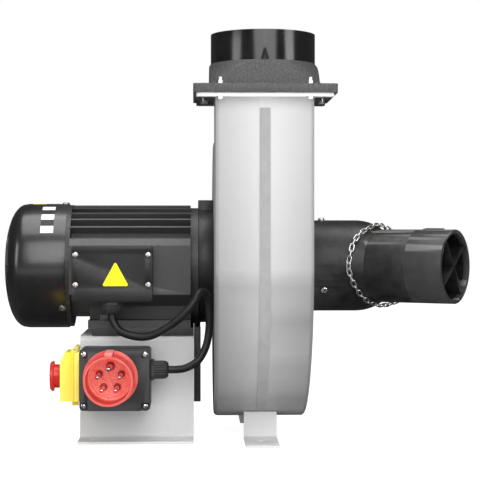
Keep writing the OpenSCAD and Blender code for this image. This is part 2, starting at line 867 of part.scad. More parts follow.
module inlet_fork() {
    color([0.15, 0.15, 0.15])
    difference() {
        union() {
            disc(volute_x1 + seat_gap, trunk_l - seat_gap, trunk_r);
            translate([fork_x, 0, axis_z]) sphere(r = trunk_r);
            for (side = [-1, 1]) {
                along_branch(side) cylinder(h = fork_seat, r = branch_r);
                along_branch(side) cylinder(h = fork_seat + fork_neck, r = fork_wall_r - seat_gap);
            }
        }
        disc(volute_x1 - cut, trunk_l + cut, trunk_r - plastic_t);
        translate([fork_x, 0, axis_z]) sphere(r = trunk_r - plastic_t);
        for (side = [-1, 1])
            along_branch(side) cylinder(h = fork_seat + fork_neck + cut, r = fork_wall_r - plastic_t);
        inlet_screw_places() translate([0, 0, -2 * plastic_t])
            cylinder(h = 2 * plastic_t + cut, r = m5_r + seat_gap);
    }
}

inlet_screw_x = 26;

module inlet_screw_places() {
    for (a = [0, 120, 240])
        about_shaft(a) translate([volute_x1 + inlet_screw_x, 0, trunk_r]) children();
}

module inlet_screws() {
    color("silver")
    inlet_screw_places() {
        cylinder(h = m5_head_h, r = m5_head_r);
        translate([0, 0, -plastic_t]) cylinder(h = plastic_t, r = m5_r);
    }
}

rim_t = 5.5;
rim_l = 7;
guard_t = 1.4;
guard_l = 22;
guard_angle = 37;

module sleeve() {
    difference() {
        translate([0, 0, fork_seat]) cylinder(h = sleeve_l, r = branch_r);
        translate([0, 0, fork_seat - cut]) cylinder(h = sleeve_l - rim_l + cut, r = fork_wall_r);
        translate([0, 0, fork_seat]) cylinder(h = sleeve_l + cut, r = branch_r - rim_t);
    }
}

module front_sleeve() {
    color([0.15, 0.15, 0.15])
    along_branch(-1) {
        sleeve();
        // Cross that keeps hands out
        intersection() {
            translate([0, 0, branch_l - guard_l - cut]) cylinder(h = guard_l, r = branch_r - plastic_t);
            for (a = [guard_angle, guard_angle + 90])
                rotate([0, 0, a]) translate([-branch_r, -guard_t / 2, branch_l - guard_l - cut])
                    cube([2 * branch_r, guard_t, guard_l]);
        }
    }
}

module rear_sleeve() {
    color([0.15, 0.15, 0.15]) along_branch(1) sleeve();
}

cap_t = 2;
cap_l = 14;
eye_wire_r = 1.6;
eye_ring_r = 4.5;

module rear_cap() {
    color([0.15, 0.15, 0.15])
    along_branch(1) {
        difference() {
            translate([0, 0, branch_l - cap_l]) cylinder(h = cap_l + cap_t, r = branch_r + cap_t);
            translate([0, 0, branch_l - cap_l - cut]) cylinder(h = cap_l + cut, r = branch_r + seat_gap);
        }
        // Eye for the chain
        translate([0, 0, branch_l + cap_t + eye_ring_r]) rotate([90, 0, 0]) rotate_extrude()
            translate([eye_ring_r, 0]) circle(r = eye_wire_r);
    }
}

// Chain that holds the cap: oval links along a route, each second one turned on edge
link_wire_r = 0.9;
wire_sides = 24;
wire_sides = 24;
link_in_l = 9;                                  // inner length of a link
link_in_w = 3.4;                                // inner width of a link
link_slack = 0.5;
link_pitch = link_in_l - link_slack;
chain_route = [
    [394, 0, 214], [389.2, -0.8, 202.9], [372.5, -2.2, 189.2], [355.3, -7.5, 178], [338, -13.9, 171.7],
    [323, -28, 171], [307, -45, 177], [294, -57, 188], [283, -65, 206], [277, -68, 224],
    [280, -67, 239], [284, -63, 255], [294, -53, 268], [307.2, -41.6, 275.7], [320.7, -24.7, 280.5],
    [331.8, -9.2, 278.6], [341.3, -1.5, 272.6], [353.7, 0, 267.7], [370.9, 0, 258.3], [388.4, -0.1, 247.3],
    [397, 0, 232], [406, 4, 222], [420, 14, 219], [436, 24, 217], [453, 36, 215],
    [450, 46, 214], [441, 58, 216], [430, 75, 222]
];

function route_point(route, k, d) =
    let(step = norm(route[k + 1] - route[k]))
    d <= step || k == len(route) - 2
        ? route[k] + (route[k + 1] - route[k]) * d / step
        : route_point(route, k + 1, d - step);

function route_length(route, k = 0) =
    k >= len(route) - 1 ? 0 : norm(route[k + 1] - route[k]) + route_length(route, k + 1);

link_count = floor(route_length(chain_route) / link_pitch);

// A link along +X, flat in XY
module chain_link() {
    r = link_in_w / 2 + link_wire_r;
    straight = link_in_l - link_in_w;
    for (side = [-1, 1]) {
        translate([side * straight / 2, 0, 0]) rotate([0, 0, -side * 90])
            rotate_extrude(angle = 180) translate([r, 0]) circle(r = link_wire_r, $fn = wire_sides);
        translate([-straight / 2, side * r, 0]) rotate([0, 90, 0])
            cylinder(h = straight, r = link_wire_r, $fn = wire_sides);
    }
}

module cap_chain() {
    color("gainsboro")
    for (i = [0 : link_count - 1]) {
        p = route_point(chain_route, 0, i * link_pitch);
        q = route_point(chain_route, 0, (i + 1) * link_pitch);
        d = q - p;
        translate((p + q) / 2)
            rotate([0, -asin(d[2] / norm(d)), atan2(d[1], d[0])])
            rotate([(i % 2 == 0 ? 1 : 3) * 45, 0, 0]) chain_link();
    }
}

/* Plug box, on the front of the stand */
box_x = -25.8;
box_z = 83;
box_wall = 3;
box_corner = 5;
box_back = -stand_d / 2;
lid_y = box_back - box_base_d - box_lid_d;
lid_inset = 1.2;
box_notch = 9.5;
box_screw_in = 5.2;
plug_off = 4.5;                                 // how far the plug is left of and above the lid's middle
plug_x = box_x - plug_off;
plug_z = box_z + plug_off;
box_gland_up = 11;
box_gland_z = box_z + box_gland_up;
side_ahead = 7;                                 // gland and switch, ahead of the base's middle
box_gland_y = box_back - box_base_d / 2 - side_ahead;

module plug_box() {
    color([0.22, 0.22, 0.23])
    difference() {
        rounded_slab(box_x, box_back - box_base_d, box_z, box_w, box_base_d, box_h, box_corner);
        rounded_slab(box_x, box_back - box_base_d - cut, box_z, box_w - 2 * box_wall,
            box_base_d - box_wall + cut, box_h - 2 * box_wall, box_wall);
        translate([box_x + box_w / 2 - box_wall - cut, box_gland_y, box_gland_z]) rotate([0, 90, 0])
            cylinder(h = box_wall + 2 * cut, r = gland_thread_r + seat_gap);
        // Opening for the switch
        translate([
            box_x - box_w / 2 - cut,
            switch_y - switch_block_w / 2 - seat_gap,
            flap_z - switch_block_h / 2 - seat_gap
        ])
            cube([box_wall + 2 * cut, switch_block_w + 2 * seat_gap, switch_block_h + 2 * seat_gap]);
    }
}

module box_corners() {
    for (i = [-1, 1], j = [-1, 1])
        translate([box_x + i * (box_w / 2 - lid_inset), lid_y, box_z + j * (box_h / 2 - lid_inset)])
            scale([-i, 1, -j]) children();
}

module plug_box_lid() {
    color([0.22, 0.22, 0.23])
    difference() {
        rounded_slab(box_x, lid_y, box_z, box_w - 2 * lid_inset, box_lid_d, box_h - 2 * lid_inset,
            box_corner - lid_inset);
        rounded_slab(box_x, lid_y + box_wall, box_z, box_w - 2 * box_notch - 2 * box_wall, box_lid_d,
            box_h - 2 * box_wall - 2 * lid_inset, box_wall);
        box_corners() translate([box_screw_in, 0, box_screw_in]) {
            along_y(0, -cut, 0, box_lid_d / 2 + cut, box_screw_in);
            along_y(0, 0, 0, box_lid_d + cut, m4_r + seat_gap);
        }
        box_corners() translate([-cut, -cut, -cut]) {
            cube([box_screw_in + cut, box_lid_d / 2 + cut, box_notch + 2 * cut]);
            cube([box_notch + 2 * cut, box_lid_d / 2 + cut, box_screw_in + cut]);
        }
        along_y(plug_x, lid_y - cut, plug_z, box_lid_d + 2 * cut, shroud_r - shroud_wall);
    }
}

module plug_box_screws() {
    color("silver")
    box_corners() translate([box_screw_in, 0, box_screw_in]) {
        along_y(0, box_lid_d / 2 - m4_head_h, 0, m4_head_h, m4_head_r);
        along_y(0, box_lid_d / 2, 0, box_lid_d / 2, m4_r);
    }
}

module plug_box_gland() {
    color("dimgray")
    translate([box_x + box_w / 2, box_gland_y, box_gland_z]) rotate([0, 90, 0]) gland(box_gland_l);
}

// Plug: a red shroud with a foot ring, a key and a floor that carries five pins
shroud_wall = 2.6;
shroud_foot_r = 34.5;
shroud_foot_l = 5;
shroud_floor_t = 6;
key_w = 9;
key_h = 4.5;
pin_r = 2.5;
earth_pin_r = 3.5;
pin_recess = 8;
pin_floor = 16;                                 // depth of the pin carrier's face behind the lid's face
plug_step = 360 / 5;

module plug_shroud() {
    color("red")
    difference() {
        union() {
            along_y(plug_x, lid_y - shroud_l, plug_z, shroud_l, shroud_r);
            along_y(plug_x, lid_y - shroud_foot_l, plug_z, shroud_foot_l, shroud_foot_r);
            translate([plug_x - key_w / 2, lid_y - shroud_l, plug_z])
                cube([key_w, shroud_l, shroud_r + key_h]);
            along_y(plug_x, lid_y, plug_z, pin_floor, shroud_r - shroud_wall - seat_gap);
        }
        along_y(plug_x, lid_y - shroud_l - cut, plug_z, shroud_l - shroud_foot_l + cut,
            shroud_r - shroud_wall);
        along_y(plug_x, lid_y - shroud_l - cut, plug_z,
            shroud_l + pin_floor - shroud_floor_t - pin_recess + cut, shroud_r - 2 * shroud_wall);
    }
}

module plug_pins() {
    floor_y = lid_y + pin_floor - shroud_floor_t - pin_recess;
    tip_y = lid_y - shroud_l + pin_recess;
    color("silver")
    for (i = [0 : 4])
        translate([
            plug_x + pin_circle_r * sin(i * plug_step),
            tip_y,
            plug_z + pin_circle_r * cos(i * plug_step)
        ])
            along_y(0, 0, 0, floor_y - tip_y, i == 0 ? earth_pin_r : pin_r);
}

// Cable from the terminal gland to the plug box: points chosen along the photographed loop
cable_route = [
    [-30.3, -106, 164.8], [-30, -106.5, 157], [-26, -108, 149], [-19, -111, 142], [-7, -114, 137.5],
    [9, -117, 135.5], [24, -119, 139], [39, -121, 147], [54, -123, 158], [67, -124, 171],
    [76, -122, 183], [82, -116, 192], [88, -108, 193], [92.5, -102, 184], [94, -100, 170],
    [94, -100, 146], [90, -103, 123], [80, -108, 105], [65, -114, 96], [52, -117.5, 94],
    [42, -118, 94]
];
cable_sides = 10;
cable_rings = 60;

// A smooth curve through the points, by one cubic between each pair
function spline(p, t) =
    let(
        last = len(p) - 2,
        k = min(floor(t * (last + 1)), last),
        u = t * (last + 1) - k,
        a = p[max(k - 1, 0)],
        b = p[k],
        c = p[k + 1],
        d = p[min(k + 2, last + 1)]
    )
    (
        2 * b + (c - a) * u
        + (2 * a - 5 * b + 4 * c - d) * pow(u, 2)
        + (3 * b - a - 3 * c + d) * pow(u, 3)
    ) / 2;

function unit(v) = v / norm(v);

// Frames carried along the curve without twist: each is [point, side vector, up vector]
function next_frame(prev, p, dir) =
    let(side = unit(prev[1] - dir * (prev[1] * dir)))
    [p, side, cross(dir, side)];

function frames(p, n, start, i = 0, out = []) =
    i > n
        ? out
        : let(
            here = spline(p, i / n),
            ahead = spline(p, min((i + 0.5) / n, 1)),
            behind = spline(p, max((i - 0.5) / n, 0)),
            dir = unit(ahead - behind),
            prev = i == 0 ? [here, start, start] : out[i - 1]
        )
        frames(p, n, start, i + 1, concat(out, [next_frame(prev, here, dir)]));

module tube_along(p, r, sides, rings, start) {
    list = frames(p, rings, start);
    points = [for (f = list) for (j = [0 : sides - 1])
        f[0] + r * (f[1] * cos(j * 360 / sides) + f[2] * sin(j * 360 / sides))];
    skin = [for (k = [0 : rings - 1]) for (j = [0 : sides - 1])
        let(a = k * sides + j, b = k * sides + (j + 1) % sides)
        each [[a, b + sides, b], [a, a + sides, b + sides]]];
    polyhedron(points, concat(
        [[for (j = [0 : sides - 1]) j]],
        skin,
        [[for (j = [sides - 1 : -1 : 0]) rings * sides + j]]
    ));
}

module motor_cable() {
    color([0.12, 0.12, 0.12]) tube_along(cable_route, cable_r, cable_sides, cable_rings, [1, 0, 0]);
}

/* Switch on the plug box's side. Its parts lie along -X from the wall. */
switch_y = box_back - box_base_d / 2 - side_ahead;
flap_up = 4.2;
flap_z = box_z + flap_up;
frame_t = 6;
switch_block_w = 32;
switch_block_h = 48;
switch_block_d = 30;
flap_d = 17.8;
flap_wall = 2;
flap_slope = 12;
switch_x = box_x - box_w / 2;                   // outer face of the plug box's wall
flap_x = switch_x - frame_t - seat_gap;         // inner face of the flap
hinge_r = 2;
hinge_out = 3.2;
hinge_z = flap_z + flap_h / 2 + hinge_out + seat_gap;
hinge_x = switch_x - frame_t + 1;
knuckle_l = 10;
button_l = 16;
button_h = 14;
button_d = 5;
button_gap = 0.4;
button_travel = 3.5;
start_up = 13;
stop_down = 7;
start_z = flap_z + start_up;
stop_z = flap_z - stop_down;

module switch_frame() {
    color("gold")
    difference() {
        union() {
            translate([switch_x - frame_t, switch_y - flap_w / 2, flap_z - flap_h / 2])
                cube([frame_t, flap_w, flap_h]);
            // Middle knuckle of the hinge
            difference() {
                union() {
                    translate([hinge_x, switch_y - knuckle_l, hinge_z]) rotate([-90, 0, 0])
                        cylinder(h = 2 * knuckle_l, r = hinge_out);
                    translate([hinge_x, switch_y - knuckle_l, flap_z + flap_h / 2 - cut])
                        cube([hinge_out, 2 * knuckle_l, hinge_out + cut]);
                }
                translate([hinge_x, switch_y - knuckle_l - cut, hinge_z]) rotate([-90, 0, 0])
                    cylinder(h = 2 * knuckle_l + 2 * cut, r = hinge_r);
            }
            // Padlock lug below
            translate([switch_x - frame_t, switch_y - lug_w / 2 - lug_w, flap_z - flap_h / 2 - lug_l])
                cube([lug_t, lug_w, lug_l]);
        }
        for (z = [start_z, stop_z])
            translate([
                switch_x - frame_t - cut,
                switch_y - button_l / 2 - button_gap,
                z - button_h / 2 - button_gap
            ])
                cube([frame_t + 2 * cut, button_l + 2 * button_gap, button_h + 2 * button_gap]);
    }
}

lug_w = 5;
lug_l = 7;
lug_t = 4;

module switch_block() {
    color([0.2, 0.2, 0.2])
    difference() {
        translate([switch_x, switch_y - switch_block_w / 2, flap_z - switch_block_h / 2])
            cube([switch_block_d, switch_block_w, switch_block_h]);
        for (z = [start_z, stop_z])
            translate([switch_x - cut, switch_y - button_l / 2 - button_gap, z - button_h / 2 - button_gap])
                cube([button_d + button_travel + cut, button_l + 2 * button_gap, button_h + 2 * button_gap]);
    }
}

module flap_pin() {
    color("silver")
    translate([hinge_x, switch_y - flap_w / 2, hinge_z]) rotate([-90, 0, 0])
        cylinder(h = flap_w, r = hinge_r);
}

module flap_profile(x_in, depth, h, slope) {
    polygon([
        [x_in, -h / 2],
        [x_in, h / 2],
        [x_in - depth + slope / 2, h / 2],
        [x_in - depth, h / 2 - slope],
        [x_in - depth, -h / 2]
    ]);
}

pin_hole_gap = 0.08;
stem_r = 6;
stem_gap = 0.3;

module switch_flap() {
    color("yellow")
    difference() {
        union() {
            difference() {
                translate([0, switch_y + flap_w / 2, flap_z]) rotate([90, 0, 0])
                    linear_extrude(flap_w) flap_profile(flap_x, flap_d, flap_h, flap_slope);
                translate([0, switch_y + flap_w / 2 - flap_wall, flap_z]) rotate([90, 0, 0])
                    linear_extrude(flap_w - 2 * flap_wall)
                    flap_profile(flap_x + cut, flap_d + cut - flap_wall, flap_h - 2 * flap_wall, flap_slope);
            }
            // Outer knuckles of the hinge, joined to the flap's top wall
            for (side = [-1, 1])
                translate([0, switch_y + side * (flap_w / 2 - (flap_w / 2 - knuckle_l - seat_gap) / 2), 0]) {
                    w = flap_w / 2 - knuckle_l - seat_gap;
                    translate([hinge_x, -w / 2, hinge_z]) rotate([-90, 0, 0]) cylinder(h = w, r = hinge_out);
                    translate([flap_x - 2 * flap_wall, -w / 2, flap_z + flap_h / 2 - flap_wall])
                        cube([2 * flap_wall, w, hinge_out + flap_wall]);
                    translate([flap_x - 2 * flap_wall, -w / 2, flap_z + flap_h / 2 + seat_gap])
                        cube([hinge_x - flap_x + 2 * flap_wall, w, hinge_out - seat_gap]);
                }
            // Padlock lug below
            translate([flap_x - lug_t, switch_y - lug_w / 2 - lug_w, flap_z - flap_h / 2 - lug_l])
                cube([lug_t, lug_w, lug_l + flap_wall]);
        }
        translate([hinge_x, switch_y - flap_w, hinge_z]) rotate([-90, 0, 0])
            cylinder(h = 2 * flap_w, r = hinge_r + pin_hole_gap);
        // The frame's middle knuckle swings in here
        translate([flap_x - flap_wall, switch_y - knuckle_l - seat_gap, flap_z + flap_h / 2])
            cube([flap_d, 2 * knuckle_l + 2 * seat_gap, 2 * hinge_out]);
        translate([flap_x - flap_d - cut, switch_y, mushroom_z]) rotate([0, 90, 0])
            cylinder(h = flap_d, r = mushroom_neck_r + stem_gap);
    }
}

mushroom_z = flap_z - 1;
mushroom_d = 14;                                // from the flap's face to the mushroom's
mushroom_cap_t = 4.5;
mushroom_neck_r = 15;
mushroom_inside = 4;                            // how far the neck reaches into the flap
stem_l = 4;

// The neck slides through the flap's face, and a stem inside points at the stop button
module stop_mushroom() {
    neck_l = mushroom_d - mushroom_cap_t + mushroom_inside;
    color("red")
    translate([flap_x - flap_d, switch_y, mushroom_z]) rotate([0, -90, 0]) {
        translate([0, 0, -mushroom_inside - stem_l]) cylinder(h = stem_l, r = stem_r);
        translate([0, 0, -mushroom_inside]) cylinder(h = neck_l, r = mushroom_neck_r);
        translate([0, 0, mushroom_d - mushroom_cap_t])
            cylinder(h = mushroom_cap_t, r1 = mushroom_r, r2 = mushroom_r - mushroom_cap_t / 2);
    }
}

module button(z) {
    translate([switch_x - frame_t - button_d / 2, switch_y - button_l / 2, z - button_h / 2])
        cube([button_d / 2 + frame_t + button_d, button_l, button_h]);
}

module start_button() {
    color("green") button(start_z);
}

module stop_button() {
    color("firebrick") button(stop_z);
}

/* Rotor */
tail_r = 7.5;
core_r = stator_bore_r - rotor_gap;
shaft_end = 40;
blower_x = cowl_x0 + dome_depth + 4;
blower_l = 24;
blower_r = 66;
blower_hub_r = 16;
blower_blades = 8;
blower_blade_t = 2.5;
key_l = 28;
shaft_key_w = 6;
shaft_key_h = 6;

module key_block() {
    translate([
        shoulder_x + (shaft_end - key_l) / 2,
        -shaft_key_w / 2,
        axis_z + shaft_r - shaft_key_h / 2
    ])
    cube([key_l, shaft_key_w, shaft_key_h]);
}

module key_block() {
    translate([
        shoulder_x + (shaft_end - key_l) / 2,
        -shaft_key_w / 2,
        axis_z + shaft_r - shaft_key_h / 2
    ])
    cube([key_l, shaft_key_w, shaft_key_h]);
}

module motor_shaft() {
    color("silver")
    difference() {
        union() {
            disc(bearing_x[0], shoulder_x - bearing_x[0], bearing_bore_r);
            disc(blower_x, bearing_x[0] - blower_x, tail_r);
            disc(shoulder_x, shaft_end, shaft_r);
        }
        key_block();
        disc(shoulder_x + shaft_end - 2 * wheel_bolt_l, 2 * wheel_bolt_l + cut, m6_r);
    }
}

module shaft_key() {
    color("gray") key_block();
}

module rotor_core() {
    color("gray") ring(stator_x, stator_l, core_r, bearing_bore_r);
}

module cooling_fan() {
    color([0.1, 0.1, 0.1]) {
        ring(blower_x, blower_l, blower_hub_r, tail_r);
        ring(blower_x + blower_l - blower_blade_t, blower_blade_t, blower_r, blower_hub_r - blower_blade_t);
        for (i = [0 : blower_blades - 1])
            about_shaft(i * 360 / blower_blades)
                translate([blower_x, -blower_blade_t / 2, blower_hub_r - blower_blade_t])
                cube([blower_l, blower_blade_t, blower_r - blower_hub_r + blower_blade_t]);
    }
}

m6_r = 3;
m6_head_r = 5.8;
m6_head_h = 4;
wheel_bolt_l = 10;
wheel_washer_r = 14;
wheel_washer_t = 3;
wheel_hub_r = 24;
wheel_flange_r = 42;
wheel_flange_t = 4;
wheel_r = 124;
wheel_plate_t = 3;
wheel_x = shoulder_x + run_gap;
wheel_plate_x = wheel_x + wheel_flange_t;
wheel_w = 84;
wheel_eye_r = 40;
wheel_blades = 8;
wheel_blade_t = 2.5;
wheel_top_share = 0.62;                         // height of a blade at the rim, of its height at the eye

module wheel_hub() {
    color("gray")
    difference() {
        union() {
            disc(wheel_x, shaft_end - run_gap, wheel_hub_r);
            disc(wheel_x, wheel_flange_t, wheel_flange_r);
        }
        disc(wheel_x - cut, shaft_end + 2 * cut, shaft_r);
        translate([wheel_x - cut, -shaft_key_w / 2, axis_z])
            cube([shaft_end + 2 * cut, shaft_key_w, shaft_r + shaft_key_h / 2]);
    }
}

module wheel_blade() {
    translate([wheel_plate_x, -wheel_blade_t / 2, 0])
        translate([0, wheel_blade_t, 0]) rotate([90, 0, 0]) linear_extrude(wheel_blade_t) polygon([
            [0, wheel_eye_r],
            [wheel_w, wheel_eye_r],
            [wheel_w * wheel_top_share, wheel_r],
            [0, wheel_r]
        ]);
}

module paddle_wheel() {
    color([0.25, 0.25, 0.25]) {
        ring(wheel_plate_x, wheel_plate_t, wheel_r, wheel_hub_r);
        for (i = [0 : wheel_blades - 1]) about_shaft(i * 360 / wheel_blades) wheel_blade();
    }
}

module wheel_bolt() {
    x = shoulder_x + shaft_end;
    color("silver") {
        ring(x, wheel_washer_t, wheel_washer_r, m6_r);
        disc(x - wheel_bolt_l, wheel_bolt_l + wheel_washer_t, m6_r);
        along_x(x + wheel_washer_t) cylinder(h = m6_head_h, r = m6_head_r, $fn = hex_sides);
    }
}

stand();
side_plate();
motor_rails();
foot_bolts();
motor_frame();
terminal_box();
terminal_lid();
terminal_lid_screws();
terminal_gland();
terminal_board();
drive_end_shield();
fan_end_shield();
bearing_outer_rings();
stator_core();
stator_windings();
fan_cowl();
cowl_screws();
adapter_ring();
adapter_screws();
housing_motor_half();
housing_inlet_half();
seam_strap();
front_foot();
rear_foot();
outlet_flange();
outlet_collar();
outlet_bolts();
inlet_nozzle();
inlet_fork();
inlet_screws();
front_sleeve();
rear_sleeve();
rear_cap();
cap_chain();
plug_box();
plug_box_lid();
plug_box_screws();
plug_box_gland();
plug_shroud();
plug_pins();
motor_cable();
switch_frame();
switch_block();
flap_pin();
motor_shaft();
rotor_core();
bearing_inner_rings();
bearing_balls();
cooling_fan();
wheel_hub();
paddle_wheel();
shaft_key();
wheel_bolt();
switch_flap();
stop_mushroom();
start_button();
stop_button();
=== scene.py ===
"""Dresses the dust extraction fan: camera, lights, materials and the detailed pieces round the CAD frame."""

import json
import math

import bmesh
import bpy
from mathutils import Matrix, Vector

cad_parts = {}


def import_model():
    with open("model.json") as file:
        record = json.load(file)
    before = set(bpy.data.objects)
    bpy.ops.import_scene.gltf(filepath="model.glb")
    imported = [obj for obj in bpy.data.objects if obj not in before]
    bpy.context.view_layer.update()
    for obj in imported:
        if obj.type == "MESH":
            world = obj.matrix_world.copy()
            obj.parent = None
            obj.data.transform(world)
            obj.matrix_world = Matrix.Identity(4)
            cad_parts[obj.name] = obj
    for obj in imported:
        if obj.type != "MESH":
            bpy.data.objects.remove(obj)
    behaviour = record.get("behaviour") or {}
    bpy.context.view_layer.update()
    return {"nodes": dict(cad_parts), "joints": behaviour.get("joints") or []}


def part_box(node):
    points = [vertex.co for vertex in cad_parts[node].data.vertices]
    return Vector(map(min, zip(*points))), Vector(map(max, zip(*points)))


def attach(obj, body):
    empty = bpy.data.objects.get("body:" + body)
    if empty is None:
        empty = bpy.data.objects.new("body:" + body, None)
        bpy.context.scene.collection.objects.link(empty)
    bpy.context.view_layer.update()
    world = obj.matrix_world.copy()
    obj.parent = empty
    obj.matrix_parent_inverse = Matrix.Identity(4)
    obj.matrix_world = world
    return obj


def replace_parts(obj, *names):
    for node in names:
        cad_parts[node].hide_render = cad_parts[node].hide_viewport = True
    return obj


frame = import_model()
NODES = frame["nodes"]
MM = 0.001


def mm(*values):
    """A point given in millimetres, in metres."""
    return Vector([v * MM for v in values])


# Camera, solved from the photograph
CAMERA_AT = mm(75.7, -2064, 271.6)
CAMERA_YAW = math.radians(-1.70)
CAMERA_PITCH = math.radians(90 - 0.34)
SENSOR = 36.0
PHOTO_PX = 480
FOCAL_PX = 1518
CLIP_END = 50


def add_camera():
    data = bpy.data.cameras.new("camera")
    data.sensor_width = SENSOR
    data.lens = FOCAL_PX / PHOTO_PX * SENSOR
    data.clip_end = CLIP_END
    camera = bpy.data.objects.new("camera", data)
    camera.location = CAMERA_AT
    camera.rotation_euler = (CAMERA_PITCH, 0, CAMERA_YAW)
    bpy.context.scene.collection.objects.link(camera)
    bpy.context.scene.camera = camera


add_camera()

# Sizes that the added pieces take from the frame
AXIS_Z = frame["joints"][0]["pos_m"][2]
LID_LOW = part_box("terminal_lid")[0]
COWL_LOW, COWL_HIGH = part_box("fan_cowl")
COWL_R = (COWL_HIGH.y - COWL_LOW.y) / 2
COLLAR_H = 37 * MM
SKIN_CHANGE = 0.5 * MM
COLLAR_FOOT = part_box("outlet_collar")[1].z - COLLAR_H
FRONT_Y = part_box("housing_motor_half")[0].y
# How far back from the front the flange's painted highlight reaches before its painted shade starts
STRIP_HIGHLIGHT_DEPTH = 4 * MM
SHROUD_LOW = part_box("plug_shroud")[0]
SHROUD_MID = mm(-30.3, 0, 87.5)

# The pin carrier in the shroud: where its floor starts and ends, its edge and the strength of its painted
# glow
CARRIER_FROM, CARRIER_TO = 30 * MM, 50 * MM
CARRIER_IN, CARRIER_OUT = 28.2 * MM, 28.8 * MM
CARRIER_PAINTED_GLOW = 0.3


# Node helpers
class Graph:
    """A material's node tree, with short calls for what the materials here share."""

    def __init__(self, name):
        self.material = bpy.data.materials.new(name)
        self.material.use_nodes = True
        self.tree = self.material.node_tree
        self.shader = self.tree.nodes["Principled BSDF"]
        self.coords = self.node("ShaderNodeTexCoord").outputs["Object"]

    def node(self, kind, **settings):
        made = self.tree.nodes.new(kind)
        for key, value in settings.items():
            setattr(made, key, value)
        return made

    def link(self, source, target):
        self.tree.links.new(source, target)

    def noise(self, scale, detail=4.0, roughness=0.55, stretch=(1, 1, 1)):
        """Grey noise of a scale in waves per metre, drawn out along the axes."""
        mapping = self.node("ShaderNodeMapping")
        mapping.inputs["Scale"].default_value = stretch
        self.link(self.coords, mapping.inputs["Vector"])
        noise = self.node("ShaderNodeTexNoise")
        noise.inputs["Scale"].default_value = scale
        noise.inputs["Detail"].default_value = detail
        noise.inputs["Roughness"].default_value = roughness
        self.link(mapping.outputs["Vector"], noise.inputs["Vector"])
        return noise.outputs["Fac"]

    def spread(self, value, low, high, source_low=0.3, source_high=0.7):
        """value remapped from its usual range to low..high."""
        remap = self.node("ShaderNodeMapRange")
        remap.inputs["From Min"].default_value = source_low
        remap.inputs["From Max"].default_value = source_high
        remap.inputs["To Min"].default_value = low
        remap.inputs["To Max"].default_value = high
        self.link(value, remap.inputs["Value"])
        return remap.outputs["Result"]

    def blend(self, value, first, second):
        """A colour between two, by value."""
        mix = self.node("ShaderNodeMix", data_type="RGBA")
        self.link(value, mix.inputs["Factor"])
        self.set_colour(mix.inputs["A"], first)
        self.set_colour(mix.inputs["B"], second)
        return mix.outputs["Result"]

    def set_colour(self, socket, colour):
        if isinstance(colour, bpy.types.NodeSocket):
            self.link(colour, socket)
        else:
            socket.default_value = (*colour, 1)

    def edges(self, low=0.52, high=0.62):
        """Bright along outer edges, where finish wears."""
        geometry = self.node("ShaderNodeNewGeometry")
        return self.spread(geometry.outputs["Pointiness"], 0, 1, low, high)

    def bump(self, height, strength, distance):
        """Relief of a depth in metres, over any relief already there."""
        bump = self.node("ShaderNodeBump")
        bump.inputs["Strength"].default_value = strength
        bump.inputs["Distance"].default_value = distance
        self.link(height, bump.inputs["Height"])
        previous = self.shader.inputs["Normal"].links
        if previous:
            self.link(previous[0].from_socket, bump.inputs["Normal"])
        self.link(bump.outputs["Normal"], self.shader.inputs["Normal"])

    def set(self, **values):
        """Sets or links the shader's sockets, named with _ for a space."""
        for key, value in values.items():
            socket = self.shader.inputs[key.replace("_", " ")]
            if isinstance(value, bpy.types.NodeSocket):
                self.link(value, socket)
            elif key == "Base_Color":
                socket.default_value = (*value, 1)
            else:
                socket.default_value = value


def paint(name, dark, light, rough, bump, wear=None, coat=0.0, grain=900, shine=0.4):
    """A painted or moulded surface: two close colours, a fine grain and worn edges."""
    g = Graph(name)
    colour = g.blend(g.spread(g.noise(60), 0, 1), dark, light)
    if wear:
        colour = g.blend(g.edges(), colour, wear)
    g.set(Base_Color=colour, Coat_Weight=coat, Coat_Roughness=0.15, Specular_IOR_Level=shine)
    g.set(Roughness=g.spread(g.noise(140), rough[0], rough[1]))
    g.bump(g.noise(grain, detail=3), bump, 0.0002)
    return g.material


def metal(name, dark, light, rough, stretch=(1, 1, 1)):
    """Bare or plated metal with fine scratches."""
    g = Graph(name)
    colour = g.blend(g.spread(g.noise(500, stretch=stretch), 0, 1), dark, light)
    g.set(Base_Color=colour, Metallic=1.0)
    g.set(Roughness=g.spread(g.noise(900, stretch=stretch), rough[0], rough[1]))
    g.bump(g.noise(1600, detail=2, stretch=stretch), 0.08, 0.0001)
    return g.material


def cast_black():
    """Black paint over a sand casting: a pebbled skin with a soft shine."""
    g = Graph("cast_black")
    worn = g.edges(0.53, 0.66)
    base = g.blend(g.spread(g.noise(45), 0, 1), (0.004, 0.004, 0.0043), (0.009, 0.009, 0.0093))
    g.set(Base_Color=g.blend(worn, base, (0.05, 0.05, 0.05)))
    g.set(Roughness=g.spread(g.noise(220), 0.34, 0.5))
    g.bump(g.noise(700, detail=5, roughness=0.7), 0.22, 0.0004)
    g.bump(g.noise(150, detail=2), 0.12, 0.0006)
    return g.material


def sheet_grey(name, dark, light, brushed):
    """Light grey finish on sheet steel, with faint rolling lines across it."""
    g = Graph(name)
    lines = g.noise(90, detail=5, stretch=brushed)
    base = g.blend(g.spread(lines, 0, 1, 0.25, 0.75), dark, light)
    worn = g.edges(0.54, 0.7)
    g.set(Base_Color=g.blend(worn, base, (0.75, 0.75, 0.75)), Specular_IOR_Level=0.25)
    g.set(Roughness=g.spread(lines, 0.42, 0.58))
    g.bump(g.noise(1300, detail=3), 0.05, 0.0001)
    g.bump(lines, 0.04, 0.0002)
    return g.material


